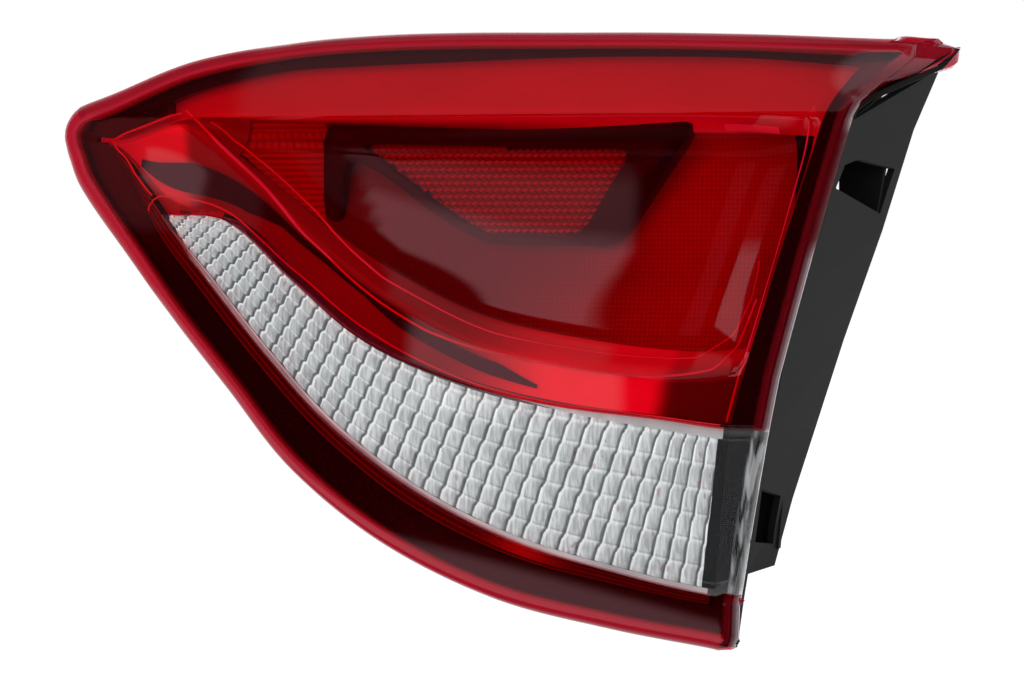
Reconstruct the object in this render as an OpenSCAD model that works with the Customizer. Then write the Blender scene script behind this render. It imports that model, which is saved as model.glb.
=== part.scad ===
// Rear lamp cluster for the right-hand corner of a car.
// X runs outboard, Y forward into the car body, Z up. Millimetres.
// The origin is the root of the main stud, on the plane that meets the body.
// The front of the lamp is one sculpted surface, lofted through nine feature
// curves. Every moulding in the lamp is a layer of that same surface, so the
// lens, bezel, optics and housing stay in line when a curve or a size changes.

/* [Lens] */
// Width of the lens face, from the inner tip to the ear
face_w = 311; // [260:1:360]
// Height of the lens face
face_h = 206; // [170:1:240]
// How far the front of the face stands ahead of the mounting plane
face_front = 88; // [84:1:104]
// Wall of the outer lens
lens_wall = 2.5; // [2:0.1:3]
// Fillet between the face and the rim
rim_r = 4; // [3.5:0.5:6]
// Extra fillet at the inner tip, where the lens wraps round
tip_extra_r = 2.5; // [0:0.5:4]
// Depth of the rim behind the face
rim_depth = 7.5; // [7:0.5:12]
// How far the ear at the upper outer corner flares out
ear_flare = 13; // [0:1:16]
// Depth of the dish below the brow
dish_depth = 12; // [6:0.5:14]

/* [Inside] */
// Gap from the face to the front of the bezel
bezel_gap = 4; // [3.5:0.5:5]
// Depth of the bezel's inner walls
bezel_wall_depth = 10; // [7:0.5:11]
// Depth of the red pillow optic behind the face
optic_at = 10; // [9:0.5:12]
// Number of flutes across the reversing optic
flutes = 38; // [20:1:44]
// Rows of pillows up each flute
flute_rows = 6; // [3:1:7]
// Height of the flutes on the front of the reversing optic
flute_rise = 1.6; // [0.8:0.2:1.8]
// Height of the flutes on its back
flute_h = 2; // [1:0.25:2.5]
// Width across one corner-cube cell of the reflex reflector
cube_pitch = 5.6; // [4.8:0.2:8]

/* [Housing] */
// Wall of the housing
wall = 2.5; // [2:0.1:3.2]
// Back of the deep chamber, ahead of the mounting plane
deep_back = 16; // [12:1:22]
// Back of the shallow chamber, ahead of the mounting plane
shallow_back = 45; // [40:1:50]
// Thickness of the side skirt
skirt_wall = 2.5; // [2:0.1:3.5]
// Radius of a stud boss
boss_r = 10; // [8:0.5:12]

/* [Fastening] */
// Radius of a mounting stud
stud_r = 3; // [2.5:0.5:4]
// Length of a stud beyond the mounting plane
stud_len = 22; // [14:1:35]
// Depth of a stud's root in its boss
stud_grip = 12; // [8:1:14]
// Radius of a stud's root, which is pressed into the boss
stud_root_r = 5; // [4.5:0.5:6]

/* [Bulbs] */
// Radius of the glass of the stop and reversing bulbs
big_glass_r = 9.5; // [8:0.5:10]
// Radius of the glass of the tail bulb
small_glass_r = 6; // [4.5:0.5:7]
// Radius of the barrel of a bulb holder
barrel_r = 12; // [11:0.5:13]
// Clearance of a holder barrel in its port
port_clear = 0.3; // [0.2:0.1:0.6]
// Thickness of a holder's flange
flange_t = 3; // [2:0.5:4]

/* [Hidden] */
$fn = 48;

kx = face_w / 311;
kz = face_h / 206;

// Feature curves of the face, [x, z] at each station from the inner tip to
// the outer edge. They were read off the photographed lamp to the millimetre.
stations = [0, 0.4, 1.2, 2, 3, 4, 5, 6, 7, 8, 8.2];
lower_edge = [[-166.5, 69.5], [-161, 58], [-140, 33], [-122, 11.5], [-97, -15.5],
    [-71.5, -43.5], [-36, -68.5], [6.5, -86.5], [49, -95.5], [85, -101], [90, -102]];
bezel_low = [[-167, 71], [-150, 66], [-131, 38], [-115, 20], [-89, -8],
    [-62, -34], [-28, -58], [11, -75], [51, -84], [86, -90], [91, -89]];
window_low = [[-167.5, 72.5], [-151, 68.5], [-126, 41], [-110, 25], [-84, -3],
    [-56, -30], [-22, -53], [14, -69], [52, -79], [87, -86], [92, -85]];
window_top = [[-168, 74], [-152, 70], [-128, 49], [-99, 43], [-73, 23],
    [-43, 1], [-7, -13], [31, -21], [69, -25], [94, -28], [103, -28]];
dish_low = [[-168, 75.5], [-152, 71.5], [-122, 78], [-93, 59], [-66, 37],
    [-36, 17], [-2, 1], [35, -7], [72, -11], [99, -9], [107, -9]];
ridge = [[-167.5, 77], [-152, 73.2], [-120, 81], [-85, 81], [-49, 81],
    [-13, 81], [25, 81], [62, 81], [96, 80.5], [126, 79], [131, 79]];
brow_mid = [[-166.8, 78], [-151.4, 74.4], [-121, 85], [-85, 88], [-48, 90],
    [-12, 91], [26, 91], [63, 91], [97, 90], [129, 87], [134, 87]];
bezel_top = [[-166, 79], [-150.7, 76], [-122, 89], [-84, 97], [-47, 99],
    [-11, 100], [27, 101], [63, 101], [97, 100], [133, 97], [140, 96]];
upper_edge = [[-164.5, 80], [-152, 84.5], [-119, 97], [-81, 103.5], [-46, 106],
    [-11, 106.5], [27, 106], [63, 105.5], [97, 104.5], [136, 103], [144, 103]];
curves = [lower_edge, bezel_low, window_low, window_top, dish_low, ridge,
    brow_mid, bezel_top, upper_edge];
// Row numbers of the curves that other parts are placed by
BEZEL_LOW = 1;
WINDOW_LOW = 2;
WINDOW_TOP = 3;
DISH_LOW = 4;
RIDGE = 5;
BEZEL_TOP = 7;
// Stations of the bezel's opening and of the window's rounded end
OPEN_IN = 0.4;
WINDOW_IN = 1.2;
OPEN_OUT = 8;

ridge_z = 81 * kz;
brow_lean = 0.34;
wing_back = 26;
wing_x = 94 * kx;
wing_rise = 26 * kz;
wing_run = 50 * kx;
seal_t = 1.2;
wing_depth = 8;

// Bulbs, studs, vents and screws, as [x, z] seen from the front
stop_at = [76, 46];
tail_at = [-56, 68];
reverse_at = [24, -50];
stud_at = [[0, 0], [-97, 68], [90, 80]];
vent_at = [[-18, 72], [40, 20]];
screw_at = [[-30, 45], [25, 72], [56, 12]];

// The face

function clamp01(v) = max(0, min(1, v));
// Ease from 0 to 1 with level ends
function ease(v) = let (c = clamp01(v)) c * c * (3 - 2 * c);
// Ease from 0 to 1 that starts steeply and lands level
function round_off(v) = let (c = clamp01(v)) 1 - (1 - c) * (1 - c);

function segment(s, i = 0) =
    i >= len(stations) - 2 || s <= stations[i + 1] ? i : segment(s, i + 1);

function slope(c, i) =
    let (a = max(0, i - 1), b = min(len(c) - 1, i + 1))
    (c[b] - c[a]) / (stations[b] - stations[a]);

// Point on a feature curve at station s: a cubic through the listed points
function on_curve(c, s) =
    let (
        i = segment(s),
        h = stations[i + 1] - stations[i],
        f = (s - stations[i]) / h,
        p = c[i] * (2 * f * f * f - 3 * f * f + 1)
            + slope(c, i) * h * (f * f * f - 2 * f * f + f)
            + c[i + 1] * (3 * f * f - 2 * f * f * f)
            + slope(c, i + 1) * h * (f * f * f - f * f)
    )
    [p[0] * kx, p[1] * kz];

// Front view of the face at station s and row t, where row 0 is lower_edge
function plan(s, t) =
    let (k = min(floor(t), len(curves) - 2), f = t - k)
    on_curve(curves[k], s) * (1 - f) + on_curve(curves[k + 1], s) * f;

// Crowned front, with the brow leaning back and the ear swept round the corner
function crown(x, z) =
    -face_front
    + pow(x + 10, 2) / 2200
    + pow(z - 10, 2) / 1800
    + brow_lean * max(0, z - ridge_z)
    + wing_back * ease((z - ridge_z) / wing_rise)
        * pow(max(0, x - wing_x) / wing_run, 2);

// Dish under the ridge: steep below the brow, a short step and then a long
// run-out towards its lower edge and its outer end
function dish(s, t) =
    t <= DISH_LOW || t >= RIDGE || s >= OPEN_OUT ? 0 :
    let (
        high = norm(on_curve(ridge, s) - on_curve(dish_low, s)),
        from_low = (t - DISH_LOW) * high,
        from_top = (RIDGE - t) * high,
        from_end = norm(plan(OPEN_OUT, t) - plan(s, t))
    )
    dish_depth * round_off(from_top / 16)
        * (0.25 * round_off(from_low / 7) + 0.75 * round_off(from_low / 42))
        * (0.4 * round_off(from_end / 6) + 0.6 * round_off(from_end / 30));

function face(s, t, back = 0) =
    let (p = plan(s, t))
    [p[0], crown(p[0], p[1]) + dish(s, t) + back, p[1]];

// Grids and rims

// Nodes of a grid of stations S by rows T, each "back" behind the face
function layer(S, T, back) =
    [for (s = S) [for (t = T) face(s, t, back)]];

// Position of the j-th node round the edge of a grid with ni by nk cells
function edge_node(j, ni, nk) =
    j < ni ? [j, 0] :
    j < ni + nk ? [ni, j - ni] :
    j < 2 * ni + nk ? [2 * ni + nk - j, nk] :
    [0, 2 * (ni + nk) - j];

// Cell that lies inside the j-th edge of the grid
function edge_cell(j, ni, nk) =
    j < ni ? [j, 0] :
    j < ni + nk ? [ni - 1, j - ni] :
    j < 2 * ni + nk ? [2 * ni + nk - 1 - j, nk - 1] :
    [0, 2 * (ni + nk) - 1 - j];

// [s, t] of every node round the edge of a grid
function edge_st(S, T) =
    let (ni = len(S) - 1, nk = len(T) - 1)
    [for (j = [0 : 2 * (ni + nk) - 1])
        let (n = edge_node(j, ni, nk)) [S[n[0]], T[n[1]]]];

// Outward direction in the front view at each node of a loop of [s, t]
function outward(loop) =
    let (n = len(loop), flat = [for (e = loop) plan(e[0], e[1])])
    [for (j = [0 : n - 1])
        let (
            d = flat[(j + 1) % n] - flat[(j + n - 1) % n],
            u = d / norm(d)
        )
        [u[1], -u[0]]];

// Fillet of the lens, wider towards the inner tip
function fillet(s) = rim_r + tip_extra_r * max(0, 1 - s / 2);
// How much of the ear a point of the edge belongs to
function ear(p) =
    ease((p[1] - ridge_z) / wing_rise) * ease((p[0] - 100 * kx) / (35 * kx));
function rim_back(p) = rim_depth + wing_depth * ear(p);

// Loop of the edge moved "out", set "back" behind the face, and flared
// sideways at the ear by a share of the whole flare
function offset_loop(loop, dirs, out, back, flare = 0) =
    [for (j = [0 : len(loop) - 1])
        let (
            f = face(loop[j][0], loop[j][1]),
            side = flare * ear_flare * ear([f[0], f[2]])
        )
        [f[0] + dirs[j][0] * out[j] + side, f[1] + back[j],
            f[2] + dirs[j][1] * out[j] - side * 0.1]];

// Closed shell between two matching skins. A skin is a grid of nodes and any
// number of loops outside it. "keep" chooses the cells of the grid; a loop
// cell is kept with the grid cell that it touches.
module shell(front, back, front_loops = [], back_loops = [],
        keep = function (i, k) true) {
    ni = len(front) - 1;
    nk = len(front[0]) - 1;
    nl = 2 * (ni + nk);
    nm = len(front_loops);
    skin = (ni + 1) * (nk + 1) + nm * nl;
    on = function (i, k) i >= 0 && i < ni && k >= 0 && k < nk && keep(i, k);
    loop_on = function (j)
        let (c = edge_cell((j + nl) % nl, ni, nk)) on(c[0], c[1]);
    g = function (i, k) i * (nk + 1) + k;
    r = function (j, m)
        let (e = (j + nl) % nl, n = edge_node(e, ni, nk))
        m == 0 ? g(n[0], n[1]) : (ni + 1) * (nk + 1) + (m - 1) * nl + e;
    cells = concat(
        [for (i = [0 : ni - 1], k = [0 : nk - 1]) if (on(i, k))
            [g(i, k), g(i + 1, k), g(i + 1, k + 1), g(i, k + 1)]],
        [for (j = [0 : nl - 1], m = [0 : 1 : nm - 1]) if (loop_on(j))
            [r(j, m + 1), r(j + 1, m + 1), r(j + 1, m), r(j, m)]]);
    rim = nm > 0;
    open_edges = concat(
        [for (i = [0 : ni - 1], k = [0 : nk - 1]) if (on(i, k))
            each concat(
                (k > 0 ? on(i, k - 1) : rim) ? [] : [[g(i, k), g(i + 1, k)]],
                (i < ni - 1 ? on(i + 1, k) : rim) ? []
                    : [[g(i + 1, k), g(i + 1, k + 1)]],
                (k < nk - 1 ? on(i, k + 1) : rim) ? []
                    : [[g(i + 1, k + 1), g(i, k + 1)]],
                (i > 0 ? on(i - 1, k) : rim) ? [] : [[g(i, k + 1), g(i, k)]])],
        [for (j = [0 : nl - 1], m = [0 : 1 : nm - 1]) if (loop_on(j))
            each concat(
                m < nm - 1 ? [] : [[r(j, m + 1), r(j + 1, m + 1)]],
                loop_on(j + 1) ? [] : [[r(j + 1, m + 1), r(j + 1, m)]],
                loop_on(j - 1) ? [] : [[r(j, m), r(j, m + 1)]])]);
    polyhedron(
        points = concat(
            [for (c = front) each c], [for (l = front_loops) each l],
            [for (c = back) each c], [for (l = back_loops) each l]),
        faces = concat(
            [for (c = cells) each [[c[0], c[2], c[1]], [c[0], c[3], c[2]]]],
            [for (c = cells) each [
                [c[0] + skin, c[1] + skin, c[2] + skin],
                [c[0] + skin, c[2] + skin, c[3] + skin]]],
            [for (e = open_edges) each [
                [e[0], e[1], e[1] + skin], [e[0], e[1] + skin, e[0] + skin]]]),
        convexity = 8);
}

// Turns a shape drawn along +Z to point forward, with its foot at a place on
// the plane "y"
module place(at, y) {
    translate([at[0] * kx, y, at[1] * kz])
        rotate([-90, 0, 0])
            children();
}

// Outer lens

LENS_S = concat([0, 0.2, 0.4, 0.66, 0.93], [for (s = [1.2 : 0.4 : 7.9]) s],
    [7.8, OPEN_OUT, 8.1, 8.2]);
LENS_T = [0, 0.5, 1, 2, 2.5, 3, 3.5, 4, 4.06, 4.2, 4.45, 4.7, 4.88, 5, 5.5, 6,
    7, 7.5, 8];
lens_loop = edge_st(LENS_S, LENS_T);
lens_dirs = outward(lens_loop);

// One loop of the lens rim: "turn" is the angle round the fillet, and "drop"
// the share of the straight wall behind it. "inset" is the wall.
function rim_loop(turn, drop, inset) =
    offset_loop(lens_loop, lens_dirs,
        [for (e = lens_loop) (fillet(e[0]) - inset) * sin(turn)],
        [for (e = lens_loop)
            let (r = fillet(e[0]), deep = rim_back(plan(e[0], e[1])))
            r - (r - inset) * cos(turn) + (deep - r) * drop],
        drop);

module lens_part(clear) {
    shell(
        layer(LENS_S, LENS_T, 0),
        layer(LENS_S, LENS_T, lens_wall),
        [rim_loop(30, 0, 0), rim_loop(60, 0, 0), rim_loop(90, 0, 0),
            rim_loop(90, 0.5, 0), rim_loop(90, 1, 0)],
        [rim_loop(30, 0, lens_wall), rim_loop(60, 0, lens_wall),
            rim_loop(90, 0, lens_wall), rim_loop(90, 0.5, lens_wall),
            rim_loop(90, 1, lens_wall)],
        function (i, k)
            clear == (LENS_S[i] >= WINDOW_IN
                && LENS_T[k] >= WINDOW_LOW && LENS_T[k] < WINDOW_TOP));
}

module outer_lens() {
    color([0.75, 0.05, 0.08, 0.6])
        lens_part(false);
}

module reverse_window() {
    color([0.9, 0.92, 0.95, 0.5])
        lens_part(true);
}

// Strip with a four-sided section. The four loops run along its edges, and it
// is either a closed ring or has two flat ends.
module strip(loops, closed) {
    n = len(loops[0]);
    polyhedron(
        points = [for (l = loops) each l],
        faces = concat(
            [for (j = [0 : n - (closed ? 1 : 2)], q = [0 : 3])
                let (a = q * n, b = ((q + 1) % 4) * n, e = (j + 1) % n)
                each [[a + j, b + j, b + e], [a + j, b + e, a + e]]],
            closed ? [] : [[0, 3 * n, 2 * n], [0, 2 * n, n],
                [n - 1, 2 * n - 1, 3 * n - 1], [n - 1, 3 * n - 1, 4 * n - 1]]),
        convexity = 8);
}

module lens_seal() {
    ring = function (inset, back)
        offset_loop(lens_loop, lens_dirs,
            [for (e = lens_loop) fillet(e[0]) - inset],
            [for (e = lens_loop) rim_back(plan(e[0], e[1])) + back], 1);
    color([0.12, 0.12, 0.12])
        strip([ring(0.2, 0), ring(lens_wall, 0), ring(lens_wall, seal_t),
            ring(0.2, seal_t)], true);
}

// Bezel and optics

module bezel() {
    S = [0, 0.2, 0.3, 0.33, OPEN_IN, 0.8, WINDOW_IN, 1.6, 2, 2.5, 3, 3.5, 4, 4.5,
        5, 5.5, 6, 6.5, 7, 7.5, OPEN_OUT, 8.05, 8.07, 8.2];
    T = [0, 0.5, 0.81, 0.85, BEZEL_LOW, 2, 3, 4, 5, 6, BEZEL_TOP, 7.2, 7.24, 8];
    loop = edge_st(S, T);
    dirs = outward(loop);
    inner = function (s, t)
        s >= 0.33 && s <= 8.05 && t >= 0.85 && t <= 7.2;
    // The wall is short at the outer end, where the housing's flange is near
    wall_at = function (s, t)
        inner(s, t) ? (s > 7.4 ? 5.5 : bezel_wall_depth) : 1.8;
    foot = [for (e = loop)
        rim_back(plan(e[0], e[1])) + seal_t];
    flat = function (v) [for (e = loop) v];
    color([0.08, 0.08, 0.09])
        shell(
            layer(S, T, bezel_gap),
            [for (s = S) [for (t = T)
                face(s, t, bezel_gap + wall_at(s, t))]],
            [offset_loop(loop, dirs, flat(1), flat(bezel_gap + 0.8)),
                offset_loop(loop, dirs, flat(1), foot, 1)],
            [offset_loop(loop, dirs, flat(-0.6), flat(bezel_gap + 1.8)),
                offset_loop(loop, dirs, flat(-0.6), foot, 1)],
            function (i, k)
                S[i] < OPEN_IN || S[i] >= OPEN_OUT
                    || T[k] < BEZEL_LOW || T[k] >= BEZEL_TOP);
}

// The red optic fills all that shows through the red lens. Under the dish it
// is a bay with flutes, set back from the plain red round it.
module pillow_optic() {
    S = concat([OPEN_IN + 0.02, 0.8, 1.2, 1.5, 1.73],
        [for (i = [0 : 40]) 1.75 + i * (7.85 - 1.75) / 40], [7.9]);
    T = [3.05, 3.5, DISH_LOW, 4.08, 4.1, 4.3, 4.6, 4.93, 4.95, RIDGE, 6, BEZEL_TOP];
    bay = function (s, t)
        s >= 1.75 && s <= 7.85 && t >= 4.1 && t <= 4.93 ? 1.5 : 0;
    color([0.6, 0.03, 0.05, 0.8])
        difference() {
            shell(
                [for (i = [0 : len(S) - 1]) [for (t = T)
                    face(S[i], t, optic_at + bay(S[i], t)
                        * (i % 2 == 0 ? 1 : 0.6))]],
                [for (s = S) [for (t = T)
                    face(s, t, optic_at + 1.2 + bay(s, t))]]);
            plate_shape(50, 90);
        }
}

// Outline of the reflex reflector, in the front view
reflex_outline = [[-53, 71], [54, 69], [34, 38], [-4, 39], [-21, 49], [-42, 64]];
// Outline of the dark plate round it, with a post down its inner side
plate_outline = [[-67, 79], [79, 79], [47, 34], [36, 34.5], [-4.5, 35.5],
    [-23.5, 46], [-44, 60.5], [-58.5, 67], [-58.5, 42], [-67, 44]];
reflex_back = 65.5;

// Array of corner cubes: three square faces meet at right angles in every
// cell, so light goes back the way it came
module corner_cubes(w, h) {
    a = cube_pitch / sqrt(2);
    n = ceil(w / cube_pitch) + 2;
    m = ceil(h / (cube_pitch * sqrt(3) / 2)) + 2;
    for (q = [0 : m - 1])
        translate([(q % 2) * cube_pitch / 2, 0, q * cube_pitch * sqrt(3) / 2])
            for (p = [0 : n - 1])
                translate([p * cube_pitch, 0, 0])
                    rotate([-90, 0, 0])
                        rotate([0, 0, 30])
                            cylinder(r1 = cube_pitch / sqrt(3), r2 = 0,
                                h = a / sqrt(3), $fn = 3);
}

module reflex_shape(grow, from, to) {
    translate([0, -to, 0])
        rotate([90, 0, 0])
            mirror([0, 0, 1])
                linear_extrude(to - from)
                    offset(delta = grow)
                        scale([kx, kz])
                            polygon(reflex_outline);
}

module plate_shape(from, to) {
    translate([0, -to, 0])
        rotate([90, 0, 0])
            mirror([0, 0, 1])
                linear_extrude(to - from)
                    scale([kx, kz])
                        polygon(plate_outline);
}

module reflex_reflector() {
    color([0.55, 0.02, 0.04])
        union() {
            reflex_shape(-0.3, reflex_back + 1.5, reflex_back + 3.5);
            intersection() {
                reflex_shape(-1, reflex_back - 2, reflex_back + 1.6);
                translate([-56 * kx, -reflex_back - 1.6, 36 * kz])
                    corner_cubes(112 * kx, 38 * kz);
            }
        }
}

module reflex_frame() {
    color([0.05, 0.05, 0.05])
        difference() {
            plate_shape(reflex_back - 4.5, reflex_back + 4);
            reflex_shape(0, reflex_back - 6, reflex_back + 5);
        }
}

// Metallised bowls round the stop and tail bulbs
module tail_reflector() {
    S = [for (i = [0 : 18]) 1.7 + i * (7.4 - 1.7) / 18];
    T = [3.3, 3.6, DISH_LOW, 4.25, 4.5, 4.75, RIDGE, 5.5, 6, 6.8];
    bowl = function (x, z, c)
        -deep_back - wall - 4 - (pow(x - c[0] * kx, 2) + pow(z - c[1] * kz, 2)) / 70;
    bowls = function (x, z) max(bowl(x, z, stop_at), bowl(x, z, tail_at));
    skin = function (s, t, back)
        let (p = face(s, t))
        [p[0], max(p[1] + optic_at + 4, -reflex_back + 5.5, bowls(p[0], p[2]))
            + back, p[2]];
    color([0.8, 0.8, 0.82])
        difference() {
            union() {
                shell(
                    [for (s = S) [for (t = T) skin(s, t, 0)]],
                    [for (s = S) [for (t = T) skin(s, t, 1.8)]]);
                // Posts that stand on the back of the housing
                for (p = screw_at)
                    let (y = max(0.5 + bowls(p[0] * kx, p[1] * kz), 6 - reflex_back))
                    place(p, y)
                        cylinder(r = 3.5, h = -deep_back - wall - y, $fn = 24);
            }
            for (b = [stop_at, tail_at])
                place(b, -deep_back - 30)
                    cylinder(r = barrel_r + 2.6, h = 34);
            for (p = screw_at)
                place(p, -deep_back - wall - 8)
                    cylinder(r = 1.5, h = 20, $fn = 24);
        }
}

module reverse_optic() {
    n = 2 * flutes;
    S = [for (i = [0 : n]) WINDOW_IN + 0.1 + i * (7.9 - WINDOW_IN) / n];
    // A plain border runs below the rows of pillows, down to the bezel
    T = concat([BEZEL_LOW, 1.7], [for (k = [0 : flute_rows])
        WINDOW_LOW + 0.06 + k * (WINDOW_TOP - WINDOW_LOW - 0.12) / flute_rows]);
    color([0.85, 0.87, 0.9, 0.7])
        shell(
            [for (i = [0 : n]) [for (k = [0 : len(T) - 1])
                face(S[i], T[k], bezel_gap
                    + (k < 2 ? 0.2 : i % 2 == 0 ? 1.2 : 1.2 - flute_rise
                        * (k % 2 == 0 ? 1 : 0.8)))]],
            [for (i = [0 : n]) [for (k = [0 : len(T) - 1])
                face(S[i], T[k], bezel_gap + 1.6
                    + (i % 2 == 0 && k > 1 ? flute_h : 0)
                    * (k % 2 == 0 ? 1 : 0.6))]]);
}

// Metallised trough behind the reversing optic
module reverse_reflector() {
    S = [for (i = [0 : 16]) WINDOW_IN + 0.1 + i * (7.5 - WINDOW_IN) / 16];
    T = [1.05, 1.5, 1.95, 2.2, 2.5, 2.8, 2.95, 3.03];
    // Its lower edge meets the border of the optic, and the rest stands clear
    skin = function (s, t, back)
        let (p = face(s, t), a = (t - 1.5) / 1.65, e = (s - 1.3) / 6.2)
        [p[0], p[1] + bezel_gap + 1.6 + (t > 1.6 ? flute_h + 1.4 : 0)
            + 18 * ease(4 * a * (1 - a)) * ease(4 * e * (1 - e)) + back, p[2]];
    color([0.85, 0.85, 0.86])
        difference() {
            shell(
                [for (s = S) [for (t = T) skin(s, t, 0)]],
                [for (s = S) [for (t = T) skin(s, t, 1.8)]]);
            place(reverse_at, -shallow_back - 32)
                cylinder(r = barrel_r + 2.6, h = 34);
        }
}

// Housing

// The back of the tub and its mouth at the flange are two outlines on the face
// grid. The walls between them have the draft of a moulding.
function tub_s(u) = 0.95 + u * 6.55;
function tub_t(v) = 1.05 + v * 5.9;
function mouth_s(u) = 0.25 + u * 7.84;
function mouth_t(v) = 0.72 + v * 6.58;
TUB_U = [0, 0.04, 0.08, 0.12, 0.19, 0.26, 0.33, 0.4, 0.47, 0.54, 0.61, 0.68,
    0.75, 0.82, 0.88, 0.94, 1];
TUB_V = [0, 0.16, 0.33, 0.37, 0.5, 0.66, 0.84, 1];

function tub_back(u, v) = u >= 0.12 && v >= 0.37 ? -deep_back : -shallow_back;

// Skin of the tub's back: moved "forward" for the inside, and its edge moved
// "out" for the outside
function tub_skin(forward) =
    [for (u = TUB_U) [for (v = TUB_V)
        let (p = plan(tub_s(u), tub_t(v)))
        [p[0], tub_back(u, v) - forward, p[1]]]];

function grown(skin, dirs, out) =
    let (ni = len(skin) - 1, nk = len(skin[0]) - 1, nl = 2 * (ni + nk))
    [for (i = [0 : ni]) [for (k = [0 : nk])
        let (
            j = k == 0 ? i : i == ni ? ni + k : k == nk ? 2 * ni + nk - i
                : i == 0 ? nl - k : -1,
            p = skin[i][k]
        )
        j < 0 ? p : [p[0] + dirs[j][0] * out, p[1], p[2] + dirs[j][1] * out]]];

tub_loop = [for (e = edge_st(TUB_U, TUB_V)) [tub_s(e[0]), tub_t(e[1])]];
tub_dirs = outward(tub_loop);
mouth_loop = [for (e = edge_st(TUB_U, TUB_V)) [mouth_s(e[0]), mouth_t(e[1])]];
mouth_dirs = outward(mouth_loop);
// The flange follows the lens joint at the same share of each side
flange_loop = [for (e = edge_st(TUB_U, TUB_V))
    [e[0] <= 0 ? 0 : e[0] >= 1 ? 8.2 : mouth_s(e[0]),
        e[1] <= 0 ? 0 : e[1] >= 1 ? 8 : mouth_t(e[1])]];
flange_dirs = outward(flange_loop);
flange_at = [for (e = flange_loop) rim_back(plan(e[0], e[1])) + seal_t];

// Outer edge of the flange, "back" behind its front
function flange_out(back) =
    offset_loop(flange_loop, flange_dirs,
        [for (e = flange_loop) fillet(e[0]) - 0.4],
        [for (b = flange_at) b + back], 1);

// Inner edge of the flange, moved "grow" outward
function flange_in(grow, back) =
    [for (j = [0 : len(flange_loop) - 1])
        let (
            p = plan(mouth_loop[j][0], mouth_loop[j][1]),
            f = face(flange_loop[j][0], flange_loop[j][1])
        )
        [p[0] + mouth_dirs[j][0] * grow, f[1] + flange_at[j] + back,
            p[1] + mouth_dirs[j][1] * grow]];

module tub() {
    shell(
        tub_skin(wall),
        grown(tub_skin(0), tub_dirs, wall),
        [flange_in(0, 0), flange_out(0)],
        [flange_in(wall, wall), flange_out(wall)]);
}

// Back edge of the side skirt, from its foot to the ear, as [x, y, z]
skirt_back = [[97.5, -43, -78], [100.5, -33, -55], [104.5, -21, -31],
    [112.5, -13, 1], [118.5, -9, 21], [124.5, -6, 40], [129, -3, 57],
    [134.5, -1, 76], [144, 0, 98]];
// Station 8.2 row where each of those points faces the joint
skirt_rows = [2.12, 2.5, 2.95, 4.1, 4.33, 4.55, 4.75, 5, 7.6];

function skirt_front_at(inset, j) =
    let (
        f = face(8.2, skirt_rows[j]),
        p = [f[0], f[2]],
        out = fillet(8.2) - inset,
        side = ear_flare * ear(p)
    )
    [f[0] + out * 0.96 + side, f[1] + rim_back(p) + seal_t,
        f[2] - out * 0.27 - side * 0.1];

function skirt_back_at(inset, j) =
    [skirt_back[j][0] * kx - inset * 0.96, skirt_back[j][1],
        skirt_back[j][2] * kz + inset * 0.27];

module skirt() {
    rows = [0 : len(skirt_back) - 1];
    shell(
        [[for (j = rows) skirt_front_at(0.4, j)],
            [for (j = rows) skirt_back_at(0, j)]],
        [[for (j = rows) skirt_front_at(0.4 + skirt_wall, j)],
            [for (j = rows) skirt_back_at(skirt_wall, j)]]);
}

// Rib that ties the skirt to the tub at a row of the skirt
module skirt_rib(j) {
    t = skirt_rows[j];
    bottom = (t > 3.3 ? -deep_back : -shallow_back) - 1;
    deep = plan(7.5, t);
    near = plan(8.12, t);
    foot = skirt_front_at(0.4 + skirt_wall * 0.6, j);
    tail = skirt_back_at(skirt_wall * 0.6, j);
    ring = [foot + [0, wall * 0.5, 0], [near[0], foot[1] + wall * 0.5, near[1]],
        [deep[0] + wall * 0.5, bottom, deep[1]], tail + [0, min(-1, bottom - tail[1]), 0]];
    polyhedron(
        points = concat([for (p = ring) p - [0, 0, 1.2]],
            [for (p = ring) p + [0, 0, 1.2]]),
        faces = concat([[0, 2, 1], [0, 3, 2], [4, 5, 6], [4, 6, 7]],
            [for (i = [0 : 3]) let (e = (i + 1) % 4)
                each [[i, e, e + 4], [i, e + 4, i + 4]]]));
}

// Wall across the back of the skirt, as an [x, z] outline at the plane "y"
module skirt_wall_at(y, outline) {
    translate([0, y, 0])
        rotate([90, 0, 0])
            linear_extrude(wall)
                scale([kx, kz])
                    polygon(outline);
}

// Stiffening rib on the back of the tub between two [x, z] places
module back_rib(a, b) {
    d = [(b[0] - a[0]) * kx, (b[1] - a[1]) * kz];
    translate([a[0] * kx, -deep_back - 1, a[1] * kz])
        rotate([0, -atan2(d[1], d[0]), 0])
            translate([0, 0, -1])
                cube([norm(d), 7, 2]);
}

// Windows in the skirt, as [y, z] outlines seen from the side
upper_window = [[-66, 55], [-63, 63], [-51, 65], [-10, 62], [-13, 46]];
lower_window = [[-69, -49], [-47, -53], [-47, -70], [-66, -68]];

module side_cut(outline) {
    translate([80 * kx, 0, 0])
        rotate([90, 0, 90])
            linear_extrude(80)
                scale([1, kz])
                    polygon(outline);
}

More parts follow.
